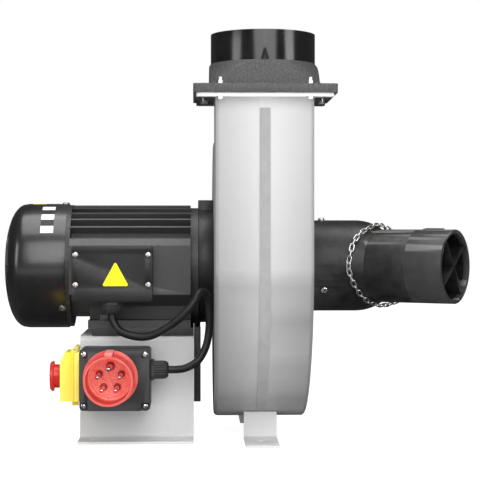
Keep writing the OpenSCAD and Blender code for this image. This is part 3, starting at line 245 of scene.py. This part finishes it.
def collar_black():
    """Glossy black round the collar, and a rough grey skin on the hood and flange below it."""
    g = Graph("collar_black")
    place = g.node("ShaderNodeSeparateXYZ")
    g.link(g.coords, place.inputs[0])
    above = g.spread(place.outputs["Z"], 0, 1, COLLAR_FOOT - SKIN_CHANGE, COLLAR_FOOT + SKIN_CHANGE)
    worn = g.edges(0.53, 0.64)
    grain = g.spread(g.noise(420, detail=5), 0, 1)
    rough_skin = g.blend(grain, (0.02, 0.02, 0.0203), (0.075, 0.075, 0.076))
    sleek = g.blend(g.spread(g.noise(60), 0, 1), (0.005, 0.005, 0.0053), (0.009, 0.009, 0.0093))
    g.set(Base_Color=g.blend(worn, g.blend(above, rough_skin, sleek), (0.09, 0.09, 0.09)))
    turn = g.node("ShaderNodeMix")
    g.link(above, turn.inputs["Factor"])
    g.link(g.spread(g.noise(300), 0.46, 0.62), turn.inputs["A"])
    g.link(g.spread(g.noise(30), 0.13, 0.2), turn.inputs["B"])
    g.set(Roughness=turn.outputs["Result"])
    g.bump(g.noise(800, detail=4), 0.12, 0.0003)
    return g.material


def shroud_red():
    """Red plastic. On the pin carrier deep inside it is a lighter speckled red, partly its own colour and
    partly painted light, with a painted glow.
    """
    g = Graph("shroud_red")
    place = g.node("ShaderNodeSeparateXYZ")
    g.link(g.coords, place.inputs[0])
    deep = g.spread(place.outputs["Y"], 0, 1, SHROUD_LOW.y + CARRIER_FROM, SHROUD_LOW.y + CARRIER_TO)
    skin = g.blend(g.spread(g.noise(60), 0, 1), (0.53, 0.045, 0.038), (0.61, 0.06, 0.05))
    skin = g.blend(g.edges(0.52, 0.6), skin, (0.85, 0.3, 0.26))
    # The carrier's lighter speckled red: partly its own colour and partly painted light that brightens its
    # deep recess
    speckle = g.spread(g.noise(700, detail=5), 0, 1, 0.4, 0.6)
    floor = g.blend(speckle, (0.86, 0.12, 0.095), (0.98, 0.3, 0.24))
    inner = g.node("ShaderNodeVectorMath", operation="LENGTH")
    flat = g.node("ShaderNodeMapping")
    flat.inputs["Location"].default_value = (-SHROUD_MID.x, 0, -SHROUD_MID.z)
    flat.inputs["Scale"].default_value = (1, 0, 1)
    g.link(g.coords, flat.inputs["Vector"])
    g.link(flat.outputs["Vector"], inner.inputs[0])
    inside = g.spread(inner.outputs["Value"], 1, 0, CARRIER_IN, CARRIER_OUT)
    both = g.node("ShaderNodeMath", operation="MULTIPLY")
    g.link(deep, both.inputs[0])
    g.link(inside, both.inputs[1])
    colour = g.blend(both.outputs[0], skin, floor)
    # Painted glow: the carrier emits its own colour, though it is no lamp
    g.set(Base_Color=colour, Coat_Weight=0.15, Coat_Roughness=0.2, Emission_Color=colour)
    g.set(Emission_Strength=g.spread(both.outputs[0], 0, CARRIER_PAINTED_GLOW, 0, 1))
    g.set(Roughness=g.spread(g.noise(140), 0.3, 0.42))
    g.bump(g.noise(900), 0.05, 0.0002)
    return g.material


def strip_highlight_and_shade():
    """Painted highlight, near white, along the flange's front edge, and painted shade, near black, behind it
    where the flange is in the collar's shade.
    """
    g = Graph("strip_highlight_and_shade")
    place = g.node("ShaderNodeSeparateXYZ")
    g.link(g.coords, place.inputs[0])
    back = g.spread(place.outputs["Y"], 0, 1, FRONT_Y, FRONT_Y + STRIP_HIGHLIGHT_DEPTH)
    # Painted highlight: a near-white band on the flange's front, brighter than its own light grey
    painted_highlight = g.blend(g.spread(g.noise(200, stretch=(1, 6, 6)), 0, 1), (0.8, 0.8, 0.8), (0.9, 0.9, 0.9))
    # Painted shade: near black behind the band, standing for the collar's shade on the flange
    dark = g.blend(g.spread(g.noise(200), 0, 1), (0.02, 0.02, 0.02), (0.05, 0.05, 0.05))
    g.set(Base_Color=g.blend(back, painted_highlight, dark), Metallic=0.1)
    g.set(Roughness=g.spread(g.noise(500), 0.34, 0.48))
    return g.material


BLACK = (0.005, 0.005, 0.0054)
LOOKS = {
    "stand": sheet_grey("stand_grey", (0.56, 0.56, 0.565), (0.66, 0.66, 0.665), (14, 1, 14)),
    "housing": sheet_grey("housing_grey", (0.165, 0.165, 0.167), (0.195, 0.195, 0.198), (1, 1, 18)),
    "strap": paint("strap_grey", (0.27, 0.27, 0.272), (0.31, 0.31, 0.312), (0.42, 0.56), 0.04,
                   shine=0.25),
    # The outlet flange: a painted highlight at the front and painted shade behind it
    "strip": strip_highlight_and_shade(),
    "casting": cast_black(),
    "cowl": paint("cowl_black", BLACK, (0.009, 0.009, 0.0093), (0.28, 0.36), 0.03,
                  (0.03, 0.03, 0.03), 0.45, shine=0.6),
    "enamel": paint("enamel_black", BLACK, (0.014, 0.014, 0.0145), (0.35, 0.48), 0.06,
                    (0.06, 0.06, 0.06)),
    "collar": collar_black(),
    "fork": paint("fork_black", (0.005, 0.005, 0.0053), (0.02, 0.02, 0.0203), (0.34, 0.52), 0.2,
                  (0.14, 0.14, 0.14), grain=500),
    "box": paint("box_grey", (0.02, 0.021, 0.023), (0.026, 0.027, 0.029), (0.42, 0.52), 0.1,
                 (0.06, 0.06, 0.065)),
    "nylon": paint("nylon_black", (0.012, 0.012, 0.0125), (0.02, 0.02, 0.0205), (0.38, 0.5), 0.08,
                   (0.05, 0.05, 0.05)),
    "cable": paint("cable_jacket", (0.008, 0.008, 0.008), (0.013, 0.013, 0.013), (0.34, 0.46), 0.05,
                   grain=1500),
    "red": paint("signal_red", (0.52, 0.022, 0.02), (0.6, 0.03, 0.026), (0.3, 0.4), 0.04,
                 (0.72, 0.1, 0.09), 0.15),
    "shroud": shroud_red(),
    "red_button": paint("button_red", (0.5, 0.012, 0.012), (0.58, 0.02, 0.02), (0.26, 0.34), 0.03,
                        coat=0.25),
    "yellow": paint("signal_yellow", (0.86, 0.62, 0.012), (0.93, 0.7, 0.02), (0.3, 0.4), 0.04,
                    (0.95, 0.8, 0.2), 0.15),
    "green": paint("button_green", (0.01, 0.25, 0.05), (0.02, 0.32, 0.07), (0.3, 0.4), 0.04,
                   coat=0.15),
    "zinc": metal("zinc", (0.6, 0.6, 0.58), (0.78, 0.78, 0.76), (0.22, 0.36)),
    "bright": metal("bright_steel", (0.66, 0.66, 0.66), (0.8, 0.8, 0.8), (0.12, 0.24)),
    "steel": metal("plain_steel", (0.36, 0.36, 0.36), (0.48, 0.48, 0.48), (0.32, 0.46), (8, 1, 1)),
    "copper": metal("winding_copper", (0.62, 0.26, 0.12), (0.76, 0.36, 0.18), (0.28, 0.4), (1, 12, 12)),
    "board": paint("board_brown", (0.12, 0.05, 0.022), (0.16, 0.07, 0.03), (0.45, 0.6), 0.1),
    "white": paint("label_white", (0.72, 0.72, 0.72), (0.8, 0.8, 0.8), (0.4, 0.5), 0.02),
    "label_yellow": paint("label_yellow", (0.85, 0.72, 0.0), (0.9, 0.78, 0.01), (0.35, 0.45), 0.02),
    "label_black": paint("label_black", (0.01, 0.01, 0.01), (0.015, 0.015, 0.015), (0.4, 0.5), 0.02),
}

NODE_LOOKS = {
    "stand": ["stand", "front_foot", "rear_foot"],
    "strip": ["outlet_flange"],
    "housing": ["housing_motor_half", "housing_inlet_half", "inlet_nozzle"],
    "strap": ["seam_strap"],
    "casting": ["motor_frame", "terminal_box", "terminal_lid", "drive_end_shield", "fan_end_shield",
                "adapter_ring"],
    "cowl": ["fan_cowl"],
    "enamel": ["side_plate", "motor_rails", "paddle_wheel"],
    "collar": ["outlet_collar"],
    "fork": ["inlet_fork", "front_sleeve", "rear_sleeve", "rear_cap", "foot_bolts"],
    "box": ["plug_box", "plug_box_lid", "switch_block"],
    "nylon": ["terminal_gland", "plug_box_gland", "cooling_fan"],
    "cable": ["motor_cable"],
    "red": ["stop_button"],
    "shroud": ["plug_shroud"],
    "red_button": ["stop_mushroom"],
    "yellow": ["switch_frame", "switch_flap"],
    "green": ["start_button"],
    "zinc": ["terminal_lid_screws", "cowl_screws", "adapter_screws", "outlet_bolts", "inlet_screws",
             "cap_chain", "plug_box_screws", "wheel_bolt"],
    "bright": ["bearing_outer_rings", "plug_pins", "flap_pin", "motor_shaft", "bearing_inner_rings",
               "bearing_balls"],
    "steel": ["stator_core", "rotor_core", "wheel_hub", "shaft_key"],
    "copper": ["stator_windings"],
    "board": ["terminal_board"],
}

# Nodes whose sharp edges get a small round, with its width in millimetres
ROUNDED = {
    "stand": 0.5,
    "terminal_box": 1.2,
    "terminal_lid": 1.2,
    "plug_box": 1.0,
    "plug_box_lid": 0.8,
    "plug_shroud": 0.8,
    "outlet_collar": 1.0,
    "motor_rails": 0.6,
    "side_plate": 0.5,
    "adapter_ring": 1.0,
    "front_sleeve": 0.9,
    "rear_sleeve": 0.9,
    "rear_cap": 0.8,
    "switch_flap": 0.8,
    "switch_frame": 0.5,
    "stop_mushroom": 0.8,
    "fan_cowl": 0.4,
    "inlet_fork": 0.5,
    "front_foot": 0.5,
    "rear_foot": 0.5,
    "outlet_flange": 0.5,
    "motor_frame": 0.6,
}
SMOOTH_ANGLE = math.radians(32)
FLAT_ANGLE = math.radians(0.5)
BEVEL_SEGMENTS = 2
SAME_POINT = 1e-6


def crease(obj):
    """Parts the shading at edges sharper than SMOOTH_ANGLE."""
    split = obj.modifiers.new("crease", "EDGE_SPLIT")
    split.split_angle = SMOOTH_ANGLE


def smooth(obj, round_mm=0.0):
    """Smooth shading up to an angle, after joining the split corners and rounding the sharp ones."""
    mesh = obj.data
    if "custom_normal" in mesh.attributes:
        mesh.attributes.remove(mesh.attributes["custom_normal"])
    mesh.shade_smooth()
    weld = obj.modifiers.new("join", "WELD")
    weld.merge_threshold = SAME_POINT
    if round_mm:
        flat = obj.modifiers.new("flat", "DECIMATE")
        flat.decimate_type = "DISSOLVE"
        flat.angle_limit = FLAT_ANGLE
        bevel = obj.modifiers.new("round", "BEVEL")
        bevel.width = round_mm * MM
        bevel.segments = BEVEL_SEGMENTS
        bevel.limit_method = "ANGLE"
        bevel.angle_limit = SMOOTH_ANGLE
        bevel.harden_normals = False
        bevel.miter_outer = "MITER_ARC"
    crease(obj)


def dress_frame():
    """Gives each node of the frame its material, shading and rounds."""
    for look, names in NODE_LOOKS.items():
        for name in names:
            obj = NODES[name]
            obj.data.materials.clear()
            obj.data.materials.append(LOOKS[look])
            for polygon in obj.data.polygons:
                polygon.material_index = 0
            smooth(obj, ROUNDED.get(name, 0.0))


dress_frame()


# Mesh helpers
def made_mesh(build, name="part"):
    """A mesh that build(bm) fills, its faces turned outward."""
    mesh = bpy.data.meshes.new(name)
    bm = bmesh.new()
    build(bm)
    bmesh.ops.recalc_face_normals(bm, faces=bm.faces)
    bm.to_mesh(mesh)
    bm.free()
    return mesh


def add_mesh(name, build, look, shade=True):
    """An object whose mesh build(bm) makes, riding on the fan's fixed body."""
    mesh = made_mesh(build, name)
    mesh.materials.append(LOOKS[look])
    obj = bpy.data.objects.new(name, mesh)
    bpy.context.scene.collection.objects.link(obj)
    if shade:
        mesh.shade_smooth()
        crease(obj)
    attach(obj, "fan")
    return obj


def turned_ring(bm, radii, height, matrix):
    """A ring of vertices about +Z with a radius for each, or one vertex where the radii are 0."""
    if not any(radii):
        return [bm.verts.new(matrix @ Vector((0, 0, height)))]
    turns = [2 * math.pi * i / len(radii) for i in range(len(radii))]
    return [bm.verts.new(matrix @ Vector((r * math.cos(t), r * math.sin(t), height)))
            for r, t in zip(radii, turns)]


def join_rings(bm, rings, sides):
    """Faces between each ring and the next."""
    for low, high in zip(rings, rings[1:]):
        for i in range(sides):
            j = (i + 1) % sides
            corners = [low[i % len(low)], low[j % len(low)], high[j % len(high)], high[i % len(high)]]
            bm.faces.new(list(dict.fromkeys(corners)))


def lathe(bm, profile, matrix, sides):
    """A closed solid turned from (radius, height) points about +Z, from the axis back to it."""
    join_rings(bm, [turned_ring(bm, [r] * sides, z, matrix) for r, z in profile], sides)


def ribbed(bm, profile, ribs, depth, matrix):
    """A turned solid with ribs where flagged: profile is (radius, height, flag)."""
    sides = ribs * 4
    rings = []
    for radius, height, flag in profile:
        radii = [radius - (depth if flag and i % 4 >= 2 else 0) for i in range(sides)]
        rings.append(turned_ring(bm, radii, height, matrix))
    join_rings(bm, rings, sides)


def islands(name):
    """The boxes of a node's separate solids, in metres, as (low, high) pairs."""
    obj = NODES[name]
    bm = bmesh.new()
    bm.from_mesh(obj.data)
    bm.transform(obj.matrix_world)
    bmesh.ops.remove_doubles(bm, verts=bm.verts, dist=SAME_POINT)
    found = []
    left = set(bm.verts)
    while left:
        group, todo = [], [left.pop()]
        while todo:
            vert = todo.pop()
            group.append(vert.co.copy())
            for edge in vert.link_edges:
                other = edge.other_vert(vert)
                if other in left:
                    left.discard(other)
                    todo.append(other)
        low = Vector([min(p[i] for p in group) for i in range(3)])
        high = Vector([max(p[i] for p in group) for i in range(3)])
        found.append((low, high))
    bm.free()
    return sorted(found, key=lambda pair: tuple(round(v, 5) for v in pair[0]))


def cut_away(mesh, cutter):
    """mesh less cutter, as a new mesh."""
    scene = bpy.context.scene.collection
    solid, tool = bpy.data.objects.new("solid", mesh), bpy.data.objects.new("tool", cutter)
    scene.objects.link(solid)
    scene.objects.link(tool)
    cut = solid.modifiers.new("cut", "BOOLEAN")
    cut.operation = "DIFFERENCE"
    cut.object = tool
    cut.solver = "EXACT"
    graph = bpy.context.evaluated_depsgraph_get()
    done = bpy.data.meshes.new_from_object(solid.evaluated_get(graph))
    bpy.data.objects.remove(solid)
    bpy.data.objects.remove(tool)
    return done


def add_box(bm, low, high, matrix=Matrix()):
    """A box between two corners, then placed by matrix."""
    made = bmesh.ops.create_cube(bm, size=1)["verts"]
    size = Vector(high) - Vector(low)
    middle = (Vector(high) + Vector(low)) / 2
    place = matrix @ Matrix.Translation(middle) @ Matrix.Diagonal((*size, 1))
    bmesh.ops.transform(bm, matrix=place, verts=made)


# A pan head's shape, as shares of its radius and height
HEAD_TURNS = (0.35, 0.7, 1.0, 1.25, 1.45)
HEAD_CORE, HEAD_DOME, HEAD_RIM, HEAD_FOOT = 0.45, 0.55, 0.35, 0.98
CROSS_W, CROSS_L, CROSS_DEEP = 0.24, 1.25, 0.6
HEAD_SIDES = 32


def screw_head(radius, height, shank_r, shank_l):
    """A pan-head screw along +Z with its head above z = 0 and a cross cut into it."""
    dome = [(radius * math.sin(a), height * (HEAD_CORE + HEAD_DOME * math.cos(a))) for a in HEAD_TURNS]
    rim = [(radius, height * HEAD_RIM), (radius * HEAD_FOOT, 0)]
    shank = [(shank_r, 0), (shank_r, -shank_l), (0, -shank_l)]
    profile = [(0, height)] + dome + rim + shank
    head = made_mesh(lambda bm: lathe(bm, profile, Matrix(), HEAD_SIDES))
    wide, long = radius * CROSS_W, radius * CROSS_L
    low = (-long / 2, -wide / 2, height * (1 - CROSS_DEEP))
    high = (long / 2, wide / 2, height * 2)
    for turn in (0, math.pi / 2):
        spin = Matrix.Rotation(turn, 4, "Z")
        head = cut_away(head, made_mesh(lambda bm: add_box(bm, low, high, spin)))
    return head


def scatter(name, proto, places, look, node):
    """One object with a copy of proto at each matrix in places, shown instead of a node."""
    def build(bm):
        for place in places:
            copy = proto.copy()
            copy.transform(place)
            bm.from_mesh(copy)
            bpy.data.meshes.remove(copy)

    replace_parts(add_mesh(name, build, look), node)


FACING_FRONT = Matrix.Rotation(math.pi / 2, 4, "X")


def turned(angle):
    """A small turn about a screw's own axis, so that no two recesses line up."""
    return Matrix.Rotation(math.radians(angle), 4, "Z")


def front_screws(name, node, look, head_r, head_h, shank_r, angles):
    """Screws along +Y in place of a node's: each island's front face is where its head ends."""
    boxes = islands(node)
    low, high = boxes[0]
    shank_l = (high.y - low.y) - head_h * MM
    proto = screw_head(head_r * MM, head_h * MM, shank_r * MM, shank_l)
    places = []
    for (low, high), angle in zip(boxes, angles):
        middle = (low + high) / 2
        at = Vector((middle.x, low.y + head_h * MM, middle.z))
        places.append(Matrix.Translation(at) @ FACING_FRONT @ turned(angle))
    scatter(name, proto, places, look, node)


def radial_screws(name, node, look, head_r, head_h, shank_r, shank_l, angles):
    """Screws that point at the shaft, in place of a node's."""
    proto = screw_head(head_r * MM, head_h * MM, shank_r * MM, shank_l * MM)
    places = []
    for (low, high), angle in zip(islands(node), angles):
        middle = (low + high) / 2
        around = math.degrees(math.atan2(middle.y, middle.z - AXIS_Z))
        out = Matrix.Rotation(math.radians(-around), 4, "X")
        foot = Matrix.Translation((0, 0, node_reach(node, around) - head_h * MM))
        places.append(Matrix.Translation((middle.x, 0, AXIS_Z)) @ out @ foot @ turned(angle))
    scatter(name, proto, places, look, node)


def node_reach(name, around):
    """How far a node reaches from the shaft, in a direction in degrees from the top to the back."""
    obj, turn = NODES[name], math.radians(around)
    places = [obj.matrix_world @ vert.co for vert in obj.data.vertices]
    return max(p.y * math.sin(turn) + (p.z - AXIS_Z) * math.cos(turn) for p in places)


# A gland's outlines in millimetres: hexagon and thread as (radius, height), and the nut from its top
# down as (radius, depth, flag for ribs)
GLAND_HEXAGON = [(0, 0), (12.6, 0), (13.8, 0.9), (13.8, 4.1), (12.6, 5), (0, 5)]
GLAND_THREAD = [(0, -6), (10, -6), (10, 0.5), (0, 0.5)]
GLAND_NUT = [(11.8, 6, 1), (11.4, 4.2, 1), (10.7, 2.6, 0), (9.6, 1.2, 0), (8.2, 0.3, 0), (6.4, 0, 0),
             (5.1, 1.5, 0), (0, 1.5, 0)]
NUT_R, NUT_FOOT = 11.8, 4.6
NUT_RIBS, NUT_RIB_DEPTH = 22, 0.7 * MM
THREAD_SIDES = 40


def gland(name, node, matrix, length):
    """A cable gland along +Z: hexagon with chamfered corners and a ribbed dome nut."""
    def build(bm):
        lathe(bm, [(r * MM, z * MM) for r, z in GLAND_HEXAGON], matrix, 6)
        lathe(bm, [(r * MM, z * MM) for r, z in GLAND_THREAD], matrix, THREAD_SIDES)
        nut = [(0, NUT_FOOT, 0), (NUT_R, NUT_FOOT, 1)] + [(r, length - z, f) for r, z, f in GLAND_NUT]
        ribbed(bm, [(r * MM, z * MM, f) for r, z, f in nut], NUT_RIBS, NUT_RIB_DEPTH, matrix)

    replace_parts(add_mesh(name, build, "nylon"), node)


def glands():
    """One gland below the terminal box and one beside the plug box."""
    low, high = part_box("terminal_gland")
    middle = (low + high) / 2
    down = Matrix.Translation((middle.x, middle.y, LID_LOW.z)) @ Matrix.Rotation(math.pi, 4, "X")
    gland("ribbed_gland_top", "terminal_gland", down, (LID_LOW.z - low.z) / MM)
    low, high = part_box("plug_box_gland")
    middle = (low + high) / 2
    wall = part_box("plug_box")[1].x
    right = Matrix.Translation((wall, middle.y, middle.z)) @ Matrix.Rotation(math.pi / 2, 4, "Y")
    gland("ribbed_gland_side", "plug_box_gland", right, (high.x - wall) / MM)


PIN_TURNS = (0.3, 0.6, 0.9, 1.2, 1.5)
PIN_SIDES = 28
# The red collar at a pin's foot, in millimetres, as (distance past the pin, height)
COLLAR_RING = [(2.4, -0.5), (2.4, 4.2), (1.9, 5), (0.6, 5), (0.3, 4)]
RING_FOOT, RING_TOP = -0.5 * MM, 4 * MM


def pins():
    """Domed pins with a red collar at the foot of each."""
    boxes = islands("plug_pins")
    floor = max(high.y for low, high in boxes)

    def pin(bm):
        for low, high in boxes:
            r = (high.x - low.x) / 2
            length = high.y - low.y
            dome = [(r * math.sin(a), length - r + r * math.cos(a)) for a in PIN_TURNS]
            profile = [(0, length)] + dome + [(r, 0), (0, 0)]
            at = Matrix.Translation(((low.x + high.x) / 2, high.y, (low.z + high.z) / 2)) @ FACING_FRONT
            lathe(bm, profile, at, PIN_SIDES)

    def collar(bm):
        for low, high in boxes:
            r = (high.x - low.x) / 2
            ring = [(r + out * MM, z * MM) for out, z in COLLAR_RING]
            at = Matrix.Translation(((low.x + high.x) / 2, floor, (low.z + high.z) / 2)) @ FACING_FRONT
            lathe(bm, [(0, RING_FOOT)] + ring + [(0, RING_TOP)], at, PIN_SIDES)

    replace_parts(add_mesh("domed_pins", pin, "bright"), "plug_pins")
    add_mesh("pin_collars", collar, "red")


PATCH_T = 0.15 * MM
PATCH_STEPS = 10


def cowl_patch(name, look, x0, x1, a0, a1):
    """A thin plain label on the cowl, between two angles from the top towards the front."""
    def build(bm):
        rows = []
        for i in range(PATCH_STEPS + 1):
            a = math.radians(a0 + (a1 - a0) * i / PATCH_STEPS)
            radius = COWL_R + PATCH_T
            y, z = -radius * math.sin(a), AXIS_Z + radius * math.cos(a)
            rows.append([bm.verts.new((x * MM, y, z)) for x in (x0, x1)])
        for first, second in zip(rows, rows[1:]):
            bm.faces.new((first[0], first[1], second[1], second[0]))
        made = bmesh.ops.extrude_face_region(bm, geom=list(bm.faces))
        for v in made["geom"]:
            if isinstance(v, bmesh.types.BMVert):
                v.co -= Vector((0, v.co.y, v.co.z - AXIS_Z)).normalized() * PATCH_T

    add_mesh(name, build, look)


# Labels on the cowl: along X in millimetres, and round the cowl in degrees from the top
SQUARES = 5
SQUARES_X, SQUARES_TURN = (-127, -110), (19, 58)
TOP_X, TOP_TURN = (-142, -124), (-7, 7)


def labels():
    """Plain patches where the photo has labels: five squares down the cowl, and one on its top."""
    step = (SQUARES_TURN[1] - SQUARES_TURN[0]) / SQUARES
    for i in range(SQUARES):
        look = "white" if i % 2 == 0 else "label_black"
        start = SQUARES_TURN[0] + i * step
        cowl_patch(f"cowl_square_{i + 1}", look, *SQUARES_X, start, start + step)
    cowl_patch("cowl_top_patch", "label_yellow", *TOP_X, *TOP_TURN)


# The lid's triangle in millimetres, its corners' radius and steps, and its thickness
TRIANGLE = [(-25.8, 232.6), (-8.6, 201.2), (-43.0, 201.2)]
TRIANGLE_ROUND, TRIANGLE_STEPS = 1.8, 5
TRIANGLE_T = 0.2 * MM


def triangle():
    """The plain yellow triangle on the terminal lid, its corners rounded."""
    centre = sum((Vector(corner) for corner in TRIANGLE), Vector((0, 0))) / len(TRIANGLE)

    def build(bm):
        ring = []
        for corner in TRIANGLE:
            away = (Vector(corner) - centre).normalized()
            inner = Vector(corner) - away * TRIANGLE_ROUND * 2
            base = math.atan2(away.y, away.x)
            for j in range(-TRIANGLE_STEPS, TRIANGLE_STEPS + 1):
                t = base - math.radians(60) * j / TRIANGLE_STEPS
                ring.append(inner + Vector((math.cos(t), math.sin(t))) * TRIANGLE_ROUND)
        face = bm.faces.new([bm.verts.new((p.x * MM, LID_LOW.y - TRIANGLE_T, p.y * MM)) for p in ring])
        made = bmesh.ops.extrude_face_region(bm, geom=[face])
        for v in made["geom"]:
            if isinstance(v, bmesh.types.BMVert):
                v.co.y = LID_LOW.y

    add_mesh("lid_triangle", build, "label_yellow", shade=False)


# The sleeve's catch in millimetres, along the front branch: where the branch starts and how it is turned
BRANCH_AT = mm(293.9, 0, 224.7)
BRANCH_TURN = math.radians(-33)
CATCH_OUT = mm(122, 0, 0)
CATCH_LOW, CATCH_HIGH = mm(-8, -5, 47.5), mm(8, 5, 50.6)
CATCH_ROUND = 0.8 * MM


def sleeve_catch():
    """Low block on the sleeve's top, where the guard is held."""
    obj = add_mesh("sleeve_catch", lambda bm: add_box(bm, CATCH_LOW, CATCH_HIGH), "fork", shade=False)
    turn = Matrix.Rotation(BRANCH_TURN, 4, "Z")
    obj.data.transform(Matrix.Translation(BRANCH_AT) @ turn @ Matrix.Translation(CATCH_OUT))
    bevel = obj.modifiers.new("round", "BEVEL")
    bevel.width = CATCH_ROUND
    bevel.segments = BEVEL_SEGMENTS


# Screws: head radius and height, shank radius and length in millimetres, and each one's turn in degrees
front_screws("lid_screws", "terminal_lid_screws", "zinc", 3.8, 2.4, 2.0, (8, 52, 30, 71))
front_screws("box_screws", "plug_box_screws", "bright", 3.8, 2.4, 2.0, (20, 64, 40, 5))
radial_screws("cowl_cross_screws", "cowl_screws", "zinc", 4.6, 2.4, 2.0, 0.4, (10, 40, 70))
radial_screws("fork_cross_screws", "inlet_screws", "bright", 4.6, 3.5, 2.5, 3, (15, 55, 80))
glands()
pins()
labels()
triangle()
sleeve_catch()


# The floor: its size and gap below the stand in metres, and its light to the camera and in reflections
FLOOR_SIZE = 12
FLOOR_GAP = 0.3 * MM
FLOOR_GLOW, FLOOR_SHADE = 0.92, 0.35
FLOOR_FAR, FLOOR_NEAR = 0.6, 0.06
DARK_REACH, DARK_FADE = 0.84, 0.15


def stage():
    """White floor that keeps the object's shadow, and reflects dark close by."""
    g = Graph("floor_white")
    path = g.node("ShaderNodeLightPath")
    place = g.node("ShaderNodeSeparateXYZ")
    g.link(g.coords, place.inputs[0])
    ahead = g.spread(place.outputs["Y"], FLOOR_FAR, FLOOR_NEAR, -DARK_REACH - DARK_FADE, -DARK_REACH)
    near = g.node("ShaderNodeCombineColor")
    for channel in near.inputs:
        g.link(ahead, channel)
    diffuse = g.node("ShaderNodeBsdfDiffuse")
    seen = g.blend(path.outputs["Is Glossy Ray"], (0.8, 0.8, 0.8), near.outputs[0])
    g.link(seen, diffuse.inputs["Color"])
    shadow = g.node("ShaderNodeBsdfDiffuse")
    shadow.inputs["Color"].default_value = (*[FLOOR_SHADE] * 3, 1)
    glow = g.node("ShaderNodeEmission")
    glow.inputs["Color"].default_value = (1, 1, 1, 1)
    glow.inputs["Strength"].default_value = FLOOR_GLOW
    both = g.node("ShaderNodeAddShader")
    g.link(shadow.outputs[0], both.inputs[0])
    g.link(glow.outputs[0], both.inputs[1])
    mix = g.node("ShaderNodeMixShader")
    g.link(path.outputs["Is Camera Ray"], mix.inputs[0])
    g.link(diffuse.outputs[0], mix.inputs[1])
    g.link(both.outputs[0], mix.inputs[2])
    g.link(mix.outputs[0], g.tree.nodes["Material Output"].inputs["Surface"])
    bpy.ops.mesh.primitive_plane_add(size=FLOOR_SIZE, location=(0, 0, -FLOOR_GAP))
    floor = bpy.context.object
    floor.name = "floor"
    floor.data.materials.append(g.material)


# The world's strength on the object, in reflections and to the camera
WORLD_LIGHT, WORLD_GLOSS, WORLD_SEEN = 0.5, 0.06, 1.0


def world():
    """White to the camera, soft light for the diffuse, and dim in reflections."""
    made = bpy.data.worlds.new("studio")
    bpy.context.scene.world = made
    made.use_nodes = True
    tree = made.node_tree
    path = tree.nodes.new("ShaderNodeLightPath")
    lit, seen = tree.nodes.new("ShaderNodeMix"), tree.nodes.new("ShaderNodeMix")
    tree.links.new(path.outputs["Is Glossy Ray"], lit.inputs["Factor"])
    lit.inputs["A"].default_value = WORLD_LIGHT
    lit.inputs["B"].default_value = WORLD_GLOSS
    tree.links.new(path.outputs["Is Camera Ray"], seen.inputs["Factor"])
    tree.links.new(lit.outputs["Result"], seen.inputs["A"])
    seen.inputs["B"].default_value = WORLD_SEEN
    back = tree.nodes["Background"]
    back.inputs["Color"].default_value = (1, 1, 1, 1)
    tree.links.new(seen.outputs["Result"], back.inputs["Strength"])


# Softboxes: name, place, what it faces, width, height, power in watts
LAMPS = [
    ("front_high", (0.25, -2.4, 1.4), (0.0, -0.1, 0.25), 2.0, 1.9, 44),
    ("key_left", (-1.9, -1.2, 0.9), (-0.05, -0.1, 0.25), 0.8, 1.3, 14),
    ("fill_right", (1.9, -1.2, 0.9), (0.2, -0.1, 0.25), 0.7, 1.3, 16),
    ("top", (0.1, -0.2, 2.0), (0.1, -0.05, 0.2), 1.8, 1.6, 30),
]


def lamps():
    """The softboxes, each turned to its target."""
    for name, place, target, width, height, power in LAMPS:
        data = bpy.data.lights.new(name, "AREA")
        data.shape = "RECTANGLE"
        data.size = width
        data.size_y = height
        data.energy = power
        lamp = bpy.data.objects.new(name, data)
        lamp.location = place
        aim = Vector(target) - Vector(place)
        lamp.rotation_euler = aim.to_track_quat("-Z", "Y").to_euler()
        bpy.context.scene.collection.objects.link(lamp)


# Cable between the two glands, in millimetres, as the CAD tube runs
CABLE_ROUTE = [
    (-30.3, -106, 164.8), (-30, -106.5, 157), (-26, -108, 149), (-19, -111, 142), (-7, -114, 137.5),
    (9, -117, 135.5), (24, -119, 139), (39, -121, 147), (54, -123, 158), (67, -124, 171),
    (76, -122, 183), (82, -116, 192), (88, -108, 193), (92.5, -102, 184), (94, -100, 170),
    (94, -100, 146), (90, -103, 123), (80, -108, 105), (65, -114, 96), (52, -117.5, 94),
    (42, -118, 94),
]
CABLE_D = 10 * MM
CABLE_POINTS = 160
CABLE_ROUND = 6


def spline(points, t):
    """A smooth curve through the points, by one cubic between each pair, as the CAD tube uses."""
    last = len(points) - 2
    k = min(int(t * (last + 1)), last)
    u = t * (last + 1) - k
    a, b = points[max(k - 1, 0)], points[k]
    c, d = points[k + 1], points[min(k + 2, last + 1)]
    return 0.5 * (2 * b + (c - a) * u + (2 * a - 5 * b + 4 * c - d) * u**2 + (3 * b - a - 3 * c + d) * u**3)


def cable():
    """The cable as a round tube along its route."""
    points = [mm(*p) for p in CABLE_ROUTE]
    line = [spline(points, i / (CABLE_POINTS - 1)) for i in range(CABLE_POINTS)]
    curve = bpy.data.curves.new("cable_line", "CURVE")
    curve.dimensions = "3D"
    curve.bevel_depth = CABLE_D / 2
    curve.bevel_resolution = CABLE_ROUND
    curve.use_fill_caps = True
    run = curve.splines.new("POLY")
    run.points.add(len(line) - 1)
    for point, place in zip(run.points, line):
        point.co = (*place, 1)
    curve.materials.append(LOOKS["cable"])
    obj = bpy.data.objects.new("cable", curve)
    bpy.context.scene.collection.objects.link(obj)
    run.use_smooth = True
    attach(obj, "fan")
    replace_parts(obj, "motor_cable")


cable()
stage()
world()
lamps()

bpy.context.scene.view_settings.view_transform = "Standard"
